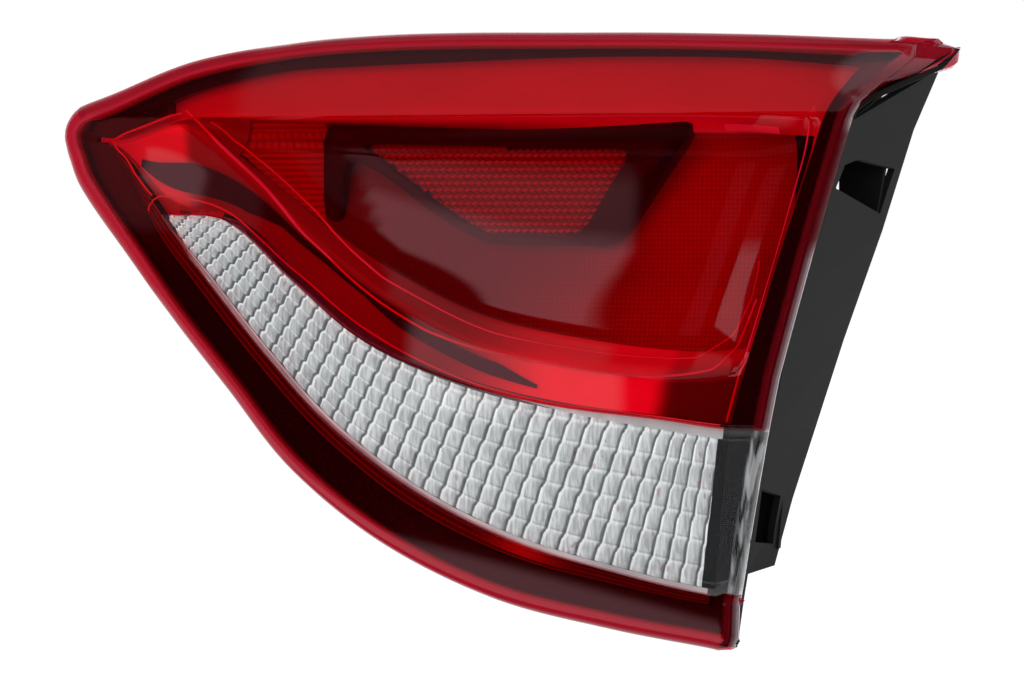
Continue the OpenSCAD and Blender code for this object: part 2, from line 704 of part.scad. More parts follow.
module housing() {
    color([0.2, 0.2, 0.2])
        difference() {
            union() {
                tub();
                difference() {
                    skirt();
                    side_cut(upper_window);
                    side_cut(lower_window);
                }
                for (j = [2, 3, 5, 7])
                    skirt_rib(j);
                skirt_wall_at(-12, [[111, 39], [124, 39], [130.5, 76], [111, 76]]);
                skirt_wall_at(-41, [[89.5, -72], [99, -72], [103, -34], [93, -34]]);
                for (p = stud_at)
                    place(p, -deep_back - 1)
                        cylinder(r = boss_r, h = deep_back + 1);
                back_rib([3, 16], [3, 93]);
                back_rib([3, 34], [55, 34]);
                back_rib([50, 34], [50, 93]);
                back_rib([-37, 30], [-37, 93]);
            }
            for (p = stud_at)
                place(p, -stud_grip)
                    cylinder(r = stud_root_r, h = stud_grip + 1);
            for (b = [stop_at, tail_at])
                place(b, -deep_back - wall - 1)
                    cylinder(r = barrel_r + port_clear, h = wall + 2);
            place(reverse_at, -shallow_back - wall - 1)
                cylinder(r = barrel_r + port_clear, h = wall + 2);
            for (p = screw_at)
                place(p, -deep_back - wall - 1)
                    cylinder(r = 1.8, h = wall + 2, $fn = 24);
        }
}

// Foam on the back of the flange, all round but for the side with the skirt
module body_gasket() {
    nu = len(TUB_U) - 1;
    nv = len(TUB_V) - 1;
    total = 2 * (nu + nv);
    ring = function (share, back)
        let (a = flange_out(wall), b = flange_in(wall, wall))
        [for (i = [1 : total - nv])
            let (j = (nu + nv + i) % total)
            a[j] * (1 - share) + b[j] * share + [0, back, 0]];
    color([0.1, 0.1, 0.1])
        strip([ring(0.15, 0), ring(0.75, 0), ring(0.75, 4), ring(0.15, 4)], false);
}

// Bulbs and holders

// Wedge bulb pointing back along -Y from the seat plane of its holder
module bulb(at, seat, glass_r, len) {
    place(at, seat)
        mirror([0, 0, 1])
            rotate_extrude()
                polygon([[0, -2], [4, -2], [4, 6], [glass_r * 0.8, 9],
                    [glass_r, 12], [glass_r, len - glass_r],
                    [glass_r * 0.87, len - glass_r * 0.5],
                    [glass_r * 0.5, len - glass_r * 0.13], [0, len]]);
}

module stop_bulb() {
    color([0.9, 0.9, 0.9, 0.5])
        bulb(stop_at, -deep_back - 8, big_glass_r, 34);
}

module tail_bulb() {
    color([0.9, 0.9, 0.9, 0.5])
        bulb(tail_at, -deep_back - 8, small_glass_r, 26);
}

module reverse_bulb() {
    color([0.9, 0.9, 0.9, 0.5])
        bulb(reverse_at, -shallow_back - 5, big_glass_r, 24);
}

// Twist-lock holder: barrel with three lugs inside, grip and plug socket
// outside
module holder(at, seat, reach) {
    place(at, seat)
        difference() {
            union() {
                translate([0, 0, -reach])
                    cylinder(r = barrel_r, h = reach + 1);
                cylinder(r = barrel_r + 4, h = flange_t);
                for (a = [0, 120, 240])
                    rotate([0, 0, a])
                        translate([barrel_r - 2, -3, 1 - reach])
                            cube([4, 6, reach - wall - 2]);
                translate([-10, -7, flange_t - 1])
                    cube([20, 14, 17]);
                for (a = [20 : 40 : 340])
                    rotate([0, 0, a])
                        translate([barrel_r + 2.5, -1.5, 0.4])
                            cube([3, 3, flange_t - 0.8]);
            }
            translate([0, 0, -reach - 1])
                cylinder(r = 4, h = 9);
            translate([-8, -5, flange_t + 4])
                cube([16, 10, 14]);
        }
}

module stop_holder() {
    color([0.25, 0.25, 0.27])
        holder(stop_at, -deep_back + 1, 12);
}

module tail_holder() {
    color([0.25, 0.25, 0.27])
        holder(tail_at, -deep_back + 1, 12);
}

module reverse_holder() {
    color([0.25, 0.25, 0.27])
        holder(reverse_at, -shallow_back + 1, 9);
}

module holder_seal(at, seat) {
    color([0.8, 0.35, 0.1])
        place(at, seat)
            difference() {
                cylinder(r = barrel_r + 2.5, h = 1);
                translate([0, 0, -1])
                    cylinder(r = barrel_r + 0.2, h = 3);
            }
}

module stop_holder_seal() {
    holder_seal(stop_at, -deep_back);
}

module tail_holder_seal() {
    holder_seal(tail_at, -deep_back);
}

module reverse_holder_seal() {
    holder_seal(reverse_at, -shallow_back);
}

module contact_blades() {
    color([0.8, 0.7, 0.4])
        for (h = [[stop_at, -deep_back + 1], [tail_at, -deep_back + 1],
                [reverse_at, -shallow_back + 1]])
            place(h[0], h[1])
                for (x = [-4, 4])
                    translate([x - 0.4, -3.2, flange_t + 4])
                        cube([0.8, 6.3, 9]);
}

// Fastening

module mounting_studs() {
    color([0.75, 0.75, 0.72])
        for (p = stud_at)
            place(p, -stud_grip)
                union() {
                    cylinder(r = stud_root_r, h = stud_grip);
                    cylinder(r = stud_r, h = stud_grip + stud_len);
                }
}

module boss_seals() {
    color([0.12, 0.12, 0.12])
        for (p = stud_at)
            place(p, -deep_back)
                difference() {
                    cylinder(r = boss_r + 5, h = deep_back - 1);
                    translate([0, 0, -1])
                        cylinder(r = boss_r + 0.3, h = deep_back + 2);
                }
}

module vent_caps() {
    color([0.15, 0.15, 0.16])
        for (p = vent_at)
            place(p, -deep_back)
                difference() {
                    cylinder(r = 7, h = 5);
                    for (a = [0 : 60 : 300])
                        rotate([0, 0, a])
                            translate([4, -0.8, 1])
                                cube([4, 1.6, 2.5]);
                }
}

module reflector_screws() {
    color([0.7, 0.7, 0.68])
        for (p = screw_at)
            place(p, -deep_back)
                union() {
                    translate([0, 0, -wall - 8])
                        cylinder(r = 1.5, h = wall + 9, $fn = 24);
                    cylinder(r = 4, h = 2.2);
                }
}

outer_lens();
reverse_window();
lens_seal();
bezel();
pillow_optic();
reflex_frame();
reflex_reflector();
tail_reflector();
reverse_optic();
reverse_reflector();
housing();
body_gasket();
stop_bulb();
tail_bulb();
reverse_bulb();
stop_holder();
tail_holder();
reverse_holder();
stop_holder_seal();
tail_holder_seal();
reverse_holder_seal();
contact_blades();
mounting_studs();
boss_seals();
vent_caps();
reflector_screws();
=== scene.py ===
# %% [markdown]
# # Dressing a rear lamp cluster
# The packed model already has every solid of the lamp in its true place. This
# notebook gives it its looks. A lamp is mostly one thing: a sculpted sheet of
# tinted plastic with a small bright world behind it. So the lens is made
# first, and every moulding behind it is laid out from the same sheet.

# %% Load the frame
import bpy
import bmesh
import math
import numpy as np
from mathutils import Matrix, Vector
from mathutils.bvhtree import BVHTree


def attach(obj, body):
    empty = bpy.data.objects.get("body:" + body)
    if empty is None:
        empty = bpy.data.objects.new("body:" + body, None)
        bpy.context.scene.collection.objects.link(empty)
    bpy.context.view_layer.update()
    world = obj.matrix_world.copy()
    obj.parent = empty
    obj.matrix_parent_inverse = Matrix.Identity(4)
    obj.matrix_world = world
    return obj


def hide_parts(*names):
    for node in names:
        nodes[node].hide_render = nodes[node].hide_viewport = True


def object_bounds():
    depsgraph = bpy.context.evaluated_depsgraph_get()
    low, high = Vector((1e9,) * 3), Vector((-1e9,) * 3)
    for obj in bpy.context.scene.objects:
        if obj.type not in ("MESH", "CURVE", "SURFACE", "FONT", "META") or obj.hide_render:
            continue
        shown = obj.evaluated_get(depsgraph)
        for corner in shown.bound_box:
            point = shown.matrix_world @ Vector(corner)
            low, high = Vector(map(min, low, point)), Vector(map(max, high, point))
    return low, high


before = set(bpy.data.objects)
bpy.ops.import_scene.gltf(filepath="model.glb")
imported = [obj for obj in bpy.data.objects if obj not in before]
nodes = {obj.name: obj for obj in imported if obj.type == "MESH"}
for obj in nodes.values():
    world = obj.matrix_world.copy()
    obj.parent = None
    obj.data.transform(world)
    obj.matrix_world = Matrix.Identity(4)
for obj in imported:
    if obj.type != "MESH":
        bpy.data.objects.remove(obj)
cad_low, cad_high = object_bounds()
MM = 0.001
print("CAD box in mm:", [round(v / MM, 1) for v in (cad_high - cad_low)])

# %% [markdown]
# ## The camera
# The lamp was photographed with a long lens, nearly level with it and a
# little from its outer side. A long lens keeps the flutes of the window
# parallel, so the focal length matters as much as the angle.

# %% Place the camera
AZIMUTH, ELEVATION = math.radians(24), math.radians(2)
DISTANCE, FOCAL, SENSOR = 1.5, 146.5, 36
AIM = Vector((0, -52, 0)) * MM
towards_camera = Vector((math.sin(AZIMUTH) * math.cos(ELEVATION),
                         -math.cos(AZIMUTH) * math.cos(ELEVATION),
                         math.sin(ELEVATION)))
camera_data = bpy.data.cameras.new("camera")
camera_data.lens = FOCAL
camera_data.sensor_width = SENSOR
camera = bpy.data.objects.new("camera", camera_data)
camera.location = AIM + towards_camera * DISTANCE
camera.rotation_mode = "QUATERNION"
camera.rotation_quaternion = (-towards_camera).to_track_quat("-Z", "Y")
bpy.context.scene.collection.objects.link(camera)
bpy.context.scene.camera = camera
bpy.context.scene.view_settings.view_transform = "Standard"
print("camera at", [round(v, 3) for v in camera.location])

# %% [markdown]
# ## The face of the lamp
# The whole front is one surface through nine feature curves. Each curve is a
# list of places across the lamp, given as [x, z] in millimetres at the same
# stations, and it is the same list that the solids were drawn from. A point
# of the face is named by its station s along the lamp and its row t across it:
# row 2 is the window's lower edge, row 4 the lip of the dish and row 5 the
# ridge over it.

# %% Feature curves
STATIONS = np.array([0, 0.4, 1.2, 2, 3, 4, 5, 6, 7, 8, 8.2])
CURVES = np.array([
    [[-166.5, 69.5], [-161, 58], [-140, 33], [-122, 11.5], [-97, -15.5],
     [-71.5, -43.5], [-36, -68.5], [6.5, -86.5], [49, -95.5], [85, -101],
     [90, -102]],
    [[-167, 71], [-150, 66], [-131, 38], [-115, 20], [-89, -8], [-62, -34],
     [-28, -58], [11, -75], [51, -84], [86, -90], [91, -89]],
    [[-167.5, 72.5], [-151, 68.5], [-126, 41], [-110, 25], [-84, -3],
     [-56, -30], [-22, -53], [14, -69], [52, -79], [87, -86], [92, -85]],
    [[-168, 74], [-152, 70], [-128, 49], [-99, 43], [-73, 23], [-43, 1],
     [-7, -13], [31, -21], [69, -25], [94, -28], [103, -28]],
    [[-168, 75.5], [-152, 71.5], [-122, 78], [-93, 59], [-66, 37], [-36, 17],
     [-2, 1], [35, -7], [72, -11], [99, -9], [107, -9]],
    [[-167.5, 77], [-152, 73.2], [-120, 81], [-85, 81], [-49, 81], [-13, 81],
     [25, 81], [62, 81], [96, 80.5], [126, 79], [131, 79]],
    [[-166.8, 78], [-151.4, 74.4], [-121, 85], [-85, 88], [-48, 90],
     [-12, 91], [26, 91], [63, 91], [97, 90], [129, 87], [134, 87]],
    [[-166, 79], [-150.7, 76], [-122, 89], [-84, 97], [-47, 99], [-11, 100],
     [27, 101], [63, 101], [97, 100], [133, 97], [140, 96]],
    [[-164.5, 80], [-152, 84.5], [-119, 97], [-81, 103.5], [-46, 106],
     [-11, 106.5], [27, 106], [63, 105.5], [97, 104.5], [136, 103],
     [144, 103]],
], float)
BEZEL_LOW, WINDOW_LOW, WINDOW_TOP, DISH_LOW = 1, 2, 3, 4
RIDGE, BEZEL_TOP, TOP = 5, 7, len(CURVES) - 1
OPEN_IN, WINDOW_IN, OPEN_OUT, END = 0.4, 1.2, 8, STATIONS[-1]
print(len(CURVES), "curves of", len(STATIONS), "stations")


# %% [markdown]
# Three small helpers turn a distance into a ramp. With them a crease, a
# fillet or a fading edge is one short formula, in shapes and in finishes.

# %% Ramps
def ease(v):
    """0 up to 0, 1 from 1 on, and level at both ends."""
    c = np.clip(v, 0, 1)
    return c * c * (3 - 2 * c)


def round_off(v):
    """Rises from 0 to 1 and is level only at its top."""
    return 1 - (1 - np.clip(v, 0, 1)) ** 2


def soft(distance, radius):
    """A distance that starts level and then runs straight, so that a crease
    measured by it has a small fillet."""
    return np.sqrt(distance ** 2 + radius ** 2) - radius


print("a quarter along, ease is at", ease(0.25))


# %% [markdown]
# Between its stations a feature curve is a smooth cubic, and from one curve to
# the next the face is straight in the front view. Its depth is one broad
# crown, into which the dish is sunk. A sculpted sheet could be modelled by
# hand as well, but here every moulding behind it has to follow it, and a
# function can be asked for any point of it.

# %% Points on the face
def on_curve(row, s):
    """Points on whole-numbered feature curves at stations s."""
    last = len(STATIONS) - 1
    i = np.clip(np.searchsorted(STATIONS, s, side="left") - 1, 0, last - 1)
    h = (STATIONS[i + 1] - STATIONS[i])[:, None]
    f = ((s - STATIONS[i])[:, None]) / h

    def slope(k):
        a, b = np.maximum(k - 1, 0), np.minimum(k + 1, last)
        run = (STATIONS[b] - STATIONS[a])[:, None]
        return (CURVES[row, b] - CURVES[row, a]) / run

    return (CURVES[row, i] * (2 * f ** 3 - 3 * f ** 2 + 1)
            + slope(i) * h * (f ** 3 - 2 * f ** 2 + f)
            + CURVES[row, i + 1] * (3 * f ** 2 - 2 * f ** 3)
            + slope(i + 1) * h * (f ** 3 - f ** 2))


def plan(s, t):
    """[x, z] of the face, seen from the front."""
    k = np.clip(np.floor(t).astype(int), 0, TOP - 1)
    f = (t - k)[:, None]
    return on_curve(k, s) * (1 - f) + on_curve(k + 1, s) * f


FRONT, RIDGE_Z = -88, 81      # foremost depth, and the height of the ridge
DISH_DEPTH = 12


def crown(x, z):
    """Depth of the face without its dish. It falls back to all sides, leans
    back above the ridge, and sweeps back into the ear."""
    over = np.maximum(0, z - RIDGE_Z)
    return (FRONT + (x + 10) ** 2 / 2200 + (z - 10) ** 2 / 1800 + 0.34 * over
            + 26 * ease(over / 26) * (np.maximum(0, x - 94) / 50) ** 2)


def dish(s, t):
    """How much deeper the dish is. It drops a little within a few
    millimetres of its lip, and the rest of the way much more slowly."""
    top = on_curve(np.full(len(s), RIDGE), s)
    low = on_curve(np.full(len(s), DISH_LOW), s)
    high = np.linalg.norm(top - low, axis=1)
    end = plan(np.full(len(s), float(OPEN_OUT)), t)
    from_low = soft(np.maximum(0, (t - DISH_LOW) * high), 0.5)
    from_top = soft(np.maximum(0, (RIDGE - t) * high), 0.8)
    from_end = soft(np.linalg.norm(end - plan(s, t), axis=1), 0.5)
    low_side = 0.25 * round_off(from_low / 7) + 0.75 * round_off(from_low / 42)
    end_side = 0.4 * round_off(from_end / 6) + 0.6 * round_off(from_end / 30)
    deep = DISH_DEPTH * round_off(from_top / 16) * low_side * end_side
    return np.where((t > DISH_LOW) & (t < RIDGE) & (s < OPEN_OUT), deep, 0)


def face(s, t, back=0.0):
    """Points of the face in metres, moved back behind it by millimetres."""
    s, t = np.atleast_1d(s).astype(float), np.atleast_1d(t).astype(float)
    p = plan(s, t)
    y = crown(p[:, 0], p[:, 1]) + dish(s, t) + back
    return np.stack([p[:, 0], y, p[:, 1]], axis=1) * MM


print("middle of the ridge, in mm:", face(4, RIDGE)[0] / MM)


# %% [markdown]
# ## Sheets that follow the face
# Blender's grid operator makes a flat square of quads. Each of its vertices
# is given a station and a row, and is then moved onto the face. The station
# and the row stay on the vertices as two attributes, so that a finish can
# later follow the shape of the lamp as real paint or texture would.

# %% A sheet on the face
def spread(marks, step):
    """Values through all the marks, no further apart than step."""
    out = [marks[0]]
    for a, b in zip(marks[:-1], marks[1:]):
        n = max(1, math.ceil((b - a) / step - 1e-6))
        out += [a + (b - a) * (i + 1) / n for i in range(n)]
    return out


def sheet(bm, stations, rows, depth=0.0, warp=None):
    """A grid laid on the face. depth is in millimetres behind it, a number or
    a function of the stations and rows."""
    station = bm.verts.layers.float.new("station")
    row = bm.verts.layers.float.new("row")
    made = bmesh.ops.create_grid(bm, x_segments=len(stations) - 1,
                                 y_segments=len(rows) - 1, size=1)["verts"]
    u = np.array([v.co.x for v in made])
    v = np.array([v.co.y for v in made])
    i = np.rint((u + 1) / 2 * (len(stations) - 1)).astype(int)
    k = np.rint((v + 1) / 2 * (len(rows) - 1)).astype(int)
    s, t = np.array(stations)[i], np.array(rows)[k]
    if warp:
        s, t = warp(s, t)
    points = face(s, t, depth(s, t) if callable(depth) else depth)
    for vert, p, a, b in zip(made, points, s, t):
        vert.co = p
        vert[station], vert[row] = a, b
    return made


def paint(bm, name, value, verts=None):
    """Keeps value(s, t) on the vertices as an attribute of that name."""
    station, row, layer = (bm.verts.layers.float[n]
                           for n in ("station", "row", name))
    verts = list(verts or bm.verts)
    values = value(np.array([v[station] for v in verts]),
                   np.array([v[row] for v in verts]))
    for vert, number in zip(verts, values):
        vert[layer] = number


def turn_to_front(bm):
    """Turns all faces of an open sheet if most of them look backwards."""
    bm.normal_update()
    if sum(f.normal.y * f.calc_area() for f in bm.faces) > 0:
        bmesh.ops.reverse_faces(bm, faces=bm.faces)


print("stations 1 mark apart, in thirds:", spread([0, 1], 0.34))


# %% [markdown]
# A piece is done when its mesh is an object on the lamp's own frame, with its
# material in a named slot. One helper does that for all of them, so that no
# step is forgotten.

# %% From a mesh to a piece
def finish_piece(bm, name, material, replaced=(), smooth=0.7):
    """Makes a bmesh a piece of the lamp, rounded over every angle that is
    less than smooth, in radians."""
    mesh = bpy.data.meshes.new(name)
    bm.to_mesh(mesh)
    bm.free()
    mesh.polygons.foreach_set("use_smooth", [True] * len(mesh.polygons))
    mesh.set_sharp_from_angle(angle=smooth)
    piece = bpy.data.objects.new(name, mesh)
    bpy.context.scene.collection.objects.link(piece)
    mesh.materials.append(material)
    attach(piece, "root")
    if replaced:
        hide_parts(*replaced)
    print(name, "has", sum(len(p.vertices) - 2 for p in mesh.polygons),
          "triangles")
    return piece


print(len(nodes), "solids wait for a finish or a finer piece")

# %% [markdown]
# ## Writing finishes as sums
# A finish is a small network of nodes. It is easier to read as arithmetic, so
# one class wraps a socket and turns plus, minus and times into Math nodes.

# %% A socket that can be added and multiplied
class Field:
    def __init__(self, tree, socket):
        self.tree, self.socket = tree, socket

    def math(self, operation, other=None, flip=False):
        a, b = (other, self) if flip else (self, other)
        values = {0: a, 1: b}
        return node(self.tree, "ShaderNodeMath", {"operation": operation},
                    {k: v for k, v in values.items() if v is not None})

    def __add__(self, other): return self.math("ADD", other)
    def __radd__(self, other): return self.math("ADD", other)
    def __sub__(self, other): return self.math("SUBTRACT", other)
    def __rsub__(self, other): return self.math("SUBTRACT", other, flip=True)
    def __mul__(self, other): return self.math("MULTIPLY", other)
    def __rmul__(self, other): return self.math("MULTIPLY", other)
    def __truediv__(self, other): return self.math("DIVIDE", other)
    def __pow__(self, other): return self.math("POWER", other)

    def between(self, low, high):
        """0 at low, 1 at high, an even ramp in between, and level beyond."""
        return node(self.tree, "ShaderNodeMapRange", {"clamp": True},
                    {0: self, 1: low, 2: high})


def node(tree, kind, settings=None, values=None, output=0):
    """Adds a node, sets it up, and links or sets its sockets."""
    made = tree.nodes.new(kind)
    for key, value in (settings or {}).items():
        setattr(made, key, value)
    for key, value in (values or {}).items():
        if isinstance(value, Field):
            tree.links.new(value.socket, made.inputs[key])
        else:
            made.inputs[key].default_value = value
    return Field(tree, made.outputs[output])


print("a Field adds Math nodes for", [name for name in vars(Field)
                                      if name.startswith("__r")])


# %% [markdown]
# A few nodes are in nearly every finish: noise on the piece's own place, a
# mix of two colours, a bump, and a number read from the vertices. Each has a
# short name here.

# %% Nodes that every finish uses
def new_finish(name):
    """An empty material, and its node tree."""
    finish = bpy.data.materials.new(name)
    finish.use_nodes = True
    finish.node_tree.nodes.clear()
    return finish, finish.node_tree


def show(tree, shader):
    """Makes a shader what the finish shows."""
    out = tree.nodes.new("ShaderNodeOutputMaterial")
    tree.links.new(shader.socket, out.inputs["Surface"])


def mix_colour(tree, factor, first, second):
    return node(tree, "ShaderNodeMix", {"data_type": "RGBA"},
                {0: factor, 6: first, 7: second}, output=2)


def dot(tree, direction, axis):
    return node(tree, "ShaderNodeVectorMath", {"operation": "DOT_PRODUCT"},
                {0: direction, 1: tuple(axis)}, output=1)


def noise(tree, scale, detail=3.0, stretch=(1, 1, 1)):
    """Cloudy noise on Object coordinates; stretch multiplies them."""
    place = node(tree, "ShaderNodeVectorMath", {"operation": "MULTIPLY"},
                 {0: node(tree, "ShaderNodeTexCoord", output=3), 1: stretch})
    return node(tree, "ShaderNodeTexNoise", {},
                {"Vector": place, "Scale": scale, "Detail": detail})


def bump(tree, height, distance, strength=1.0):
    return node(tree, "ShaderNodeBump", {},
                {"Strength": strength, "Distance": distance, "Height": height})


def mark(tree, name):
    """A number that is kept on the vertices of a piece."""
    return node(tree, "ShaderNodeAttribute", {"attribute_name": name},
                output=2)


def principled(tree, values):
    return node(tree, "ShaderNodeBsdfPrincipled", {}, values)


def mix_shader(tree, factor, first, second):
    return node(tree, "ShaderNodeMixShader", {},
                {0: factor, 1: first, 2: second})


print("finishes can be written as sums")

# %% [markdown]
# ## Light, floor and backdrop
# The lamp was shot on white with a dark room in front of it, and what it
# mirrors are upright softboxes to the left of the camera. Polished plastic is
# mostly what it mirrors, so the world is painted as the room: mirror rays see
# it, the camera sees plain white, and a soft even light falls on everything.

# %% Rectangles of light
def softbox(tree, direction, centre, right, up, wide, high, edge=0.006):
    """1 inside a rectangle of directions, faded at its edge."""
    ahead, across, along = (dot(tree, direction, v)
                            for v in (centre, right, up))
    least = ahead.math("MAXIMUM", 0.05)
    across = (across / least).math("ABSOLUTE")
    along = (along / least).math("ABSOLUTE")
    return ((1 - across.between(wide - edge, wide + edge))
            * (1 - along.between(high - edge, high + edge))
            * ahead.math("GREATER_THAN", 0.05))


def frame_of(azimuth, elevation):
    """The direction from the lamp to a place in the room, with the room's
    right and up as they are seen in that direction."""
    a, e = math.radians(azimuth), math.radians(elevation)
    centre = Vector((math.sin(a) * math.cos(e), -math.cos(a) * math.cos(e),
                     math.sin(e)))
    right = Vector((math.cos(a), math.sin(a), 0))
    return centre, right, right.cross(-centre).normalized()


print("straight ahead is", tuple(frame_of(0, 0)[0]))

# %% [markdown]
# What a mirror ray sees is painted by its direction: white behind the lamp,
# a grey ceiling, a strip of bright table below, the ground, and the boxes.
# An even light without direction comes from the same world, a little weaker
# from above, so that a colour renders about as it is written.

# %% Paint the room
world = bpy.data.worlds.new("studio")
bpy.context.scene.world = world
world.use_nodes = True
room = world.node_tree
room.nodes.clear()
direction = node(room, "ShaderNodeTexCoord", output=0)
rightwards, backwards, upwards = (
    dot(room, direction, axis) for axis in ((1, 0, 0), (0, 1, 0), (0, 0, 1)))
ceiling = upwards.between(0.55, 0.64) * 0.3
ground = (1 - upwards.between(-0.9, -0.8)) * 0.6
table = ((upwards + rightwards * 0.31).between(-0.375, -0.385)
         * upwards.between(-0.52, -0.48)) * 0.72
glow = backwards.between(0.0, 0.2) + ceiling + table + ground
# azimuth, elevation, half width and half height as tangents, and brightness
BOXES = [(-21.3, 10.7, 0.103, 0.32, 0.95), (-41.5, 14.0, 0.11, 0.2, 0.9)]
for azimuth, elevation, wide, high, power in BOXES:
    glow = glow.math("MAXIMUM", softbox(
        room, direction, *frame_of(azimuth, elevation), wide, high) * power)
glow = glow.math("MAXIMUM", 0.004).math("MINIMUM", 1.0)


def rays(tree, *kinds):
    """1 for rays of any of these kinds, as Light Path tells them."""
    path = tree.nodes.new("ShaderNodeLightPath")
    found = [Field(tree, path.outputs[f"Is {kind} Ray"]) for kind in kinds]
    for more in found[1:]:
        found[0] = found[0].math("MAXIMUM", more)
    return found[0]


AMBIENT = 0.62
seen, mirrored = rays(room, "Camera", "Transmission"), rays(room, "Glossy")
from_above = 1 - upwards.between(0.1, 0.8) * 0.6
level = from_above * AMBIENT * (1 - mirrored) + glow * mirrored
level = level * (1 - seen) + seen
shade = node(room, "ShaderNodeBackground", {},
             {"Color": (1, 1, 1, 1), "Strength": level})
out = room.nodes.new("ShaderNodeOutputWorld")
room.links.new(shade.socket, out.inputs["Surface"])
print("the room has", len(BOXES), "softboxes and", len(room.nodes), "nodes")

# %% [markdown]
# Three square lamps shape the matt parts: a key from the left front, a weak
# fill from the right, and one behind for the back of the housing. Mirror rays
# don't see them, because the painted room stands for what is mirrored.

# %% Hang the lamps
def hang(name, place, size, watts, target):
    data = bpy.data.lights.new(name, "AREA")
    data.shape, data.size, data.energy = "SQUARE", size, watts
    made = bpy.data.objects.new(name, data)
    made.location = place
    made.rotation_mode = "QUATERNION"
    aimed = Vector(target) - made.location
    made.rotation_quaternion = aimed.to_track_quat("-Z", "Y")
    made.visible_glossy = False
    bpy.context.scene.collection.objects.link(made)


LAMPS = [("key", (-0.7, -1.6, 0.5), 1.0, 10, (0, -0.05, 0)),
         ("fill", (1.3, -0.9, 0.5), 0.8, 2.5, (0, -0.05, 0)),
         ("rear", (0.5, 1.6, 1.0), 0.9, 9, (0, 0, 0))]
for lamp in LAMPS:
    hang(*lamp)
print([(name, watts) for name, _, _, watts, _ in LAMPS])

# %% [markdown]
# The floor is plain and pale. It is white to the camera by its own colour and
# a little light of its own, which leaves room for the lamp's shadow.

# %% Lay the floor
bm = bmesh.new()
bmesh.ops.create_grid(bm, x_segments=1, y_segments=1, size=6)
below = cad_low.z - 0.6 * MM
bmesh.ops.translate(bm, verts=bm.verts, vec=(0, 0, below))
floor_mesh = bpy.data.meshes.new("floor")
bm.to_mesh(floor_mesh)
bm.free()
floor = bpy.data.objects.new("floor", floor_mesh)
bpy.context.scene.collection.objects.link(floor)
pale, tree = new_finish("pale_floor")
plain = node(tree, "ShaderNodeBsdfDiffuse", {},
             {"Color": (0.92, 0.92, 0.92, 1)})
glowing = node(tree, "ShaderNodeEmission", {},
               {"Color": (1, 1, 1, 1), "Strength": 1.2})
direct = rays(tree, "Camera", "Glossy", "Transmission")
show(tree, mix_shader(tree, direct * 0.82, plain, glowing))
floor_mesh.materials.append(pale)
floor.visible_glossy = False
print("floor at", round(below / MM, 1), "mm")

# %% [markdown]
# ## Tinted and clear plastic
# A lens is thin, so light goes almost straight through it. A Transparent
# shader with a tint does that without noise, and what is behind it is tinted
# on the way in and again on the way out. Over it lies the polish, which
# mirrors a twenty-fifth of the room face on and more at a slant, as Layer
# Weight gives it. The rim is thick and is seen through its depth, so there the
# plastic shows its own body colour. Where the real lens mirrors something
# dull instead of the softboxes, the number shine lowers the polish.

# %% Lens finishes
def polish(tree, least=0.04):
    """How much of the room a polished surface mirrors, from face on to a
    slant."""
    slant = node(tree, "ShaderNodeLayerWeight", {}, {"Blend": 0.5}, output=1)
    return least + slant ** 5 * (1 - least)


def lens_finish(name, tint, body, share, sheen=(1, 1, 1, 1)):
    """Clear plastic of that tint. share(tree) says how much of its body
    colour is seen, and sheen colours what it mirrors."""
    finish, tree = new_finish(name)
    clear = node(tree, "ShaderNodeBsdfTransparent", {}, {"Color": tint})
    solid = principled(tree, {"Base Color": body, "Roughness": 0.25,
                              "Specular IOR Level": 0.2})
    mirror = principled(tree, {"Base Color": sheen, "Metallic": 1.0,
                               "Roughness": 0.03})
    inside = mix_shader(tree, share(tree), clear, solid)
    show(tree, mix_shader(tree, polish(tree) * mark(tree, "shine"), inside,
                          mirror))
    return finish


def red_share(tree):
    """Thin plastic hardly shows its own colour, and the rim shows it well."""
    return mark(tree, "rim") * 0.9 + 0.006


def clear_share(tree):
    """The clear rim shows its pale body colour in upright streaks, which are
    painted highlights for the light that its curved side mirrors.
    """
    streaks = noise(tree, 260.0, 2.0, (1, 1, 0.08)).between(0.5, 0.62)
    return mark(tree, "rim") * streaks + 0.02


red_lens = lens_finish("red_lens", (0.965, 0.16, 0.26, 1),
                       (0.56, 0.008, 0.03, 1), red_share, (1, 0.92, 1.0, 1))
clear_lens = lens_finish("clear_lens", (0.975, 0.98, 0.98, 1),
                         (0.75, 0.77, 0.8, 1), clear_share)
print("lens finishes:", red_lens.name, clear_lens.name)


# %% [markdown]
# ## The outer lens
# The front is a fine sheet on the face. Its edge is extruded in small steps
# round a fillet and then straight back, and the whole is given its wall at
# the end. The window's inner end is rounded by warping the grid there, so
# that the edge of the clear plastic runs along edges of the mesh.

# %% The rounded end of the window
def end_round(t):
    """How far the half round end of the window lies past its foremost
    point, in stations: 0 at the middle row and 0.5 at both edges."""
    x = np.clip(2 * (t - (WINDOW_LOW + WINDOW_TOP) / 2), -1, 1)
    return 0.5 * (1 - np.sqrt(1 - x * x))


def round_window_end(s, t):
    """Slides stations near the window's inner end, most at its corners."""
    fade = ease(t - BEZEL_LOW) * ease(DISH_LOW - t)
    near = np.where(s < WINDOW_IN, ease((s - 0.55) / 0.65),
                    ease((2.6 - s) / 1.4))
    return s + end_round(t) * fade * near, t


LENS_STATIONS = spread([0, 0.2, OPEN_IN, 0.9, WINDOW_IN, 2, 4, 6, 7.4, 7.9,
                        OPEN_OUT, 8.1, END], 0.055)
LENS_ROWS = spread([0, BEZEL_LOW, WINDOW_LOW, WINDOW_TOP, 3.9, DISH_LOW, 4.1,
                    4.3, 4.7, 4.9, RIDGE, 5.1, 6, BEZEL_TOP, TOP], 0.09)
print("lens grid:", len(LENS_STATIONS), "by", len(LENS_ROWS))


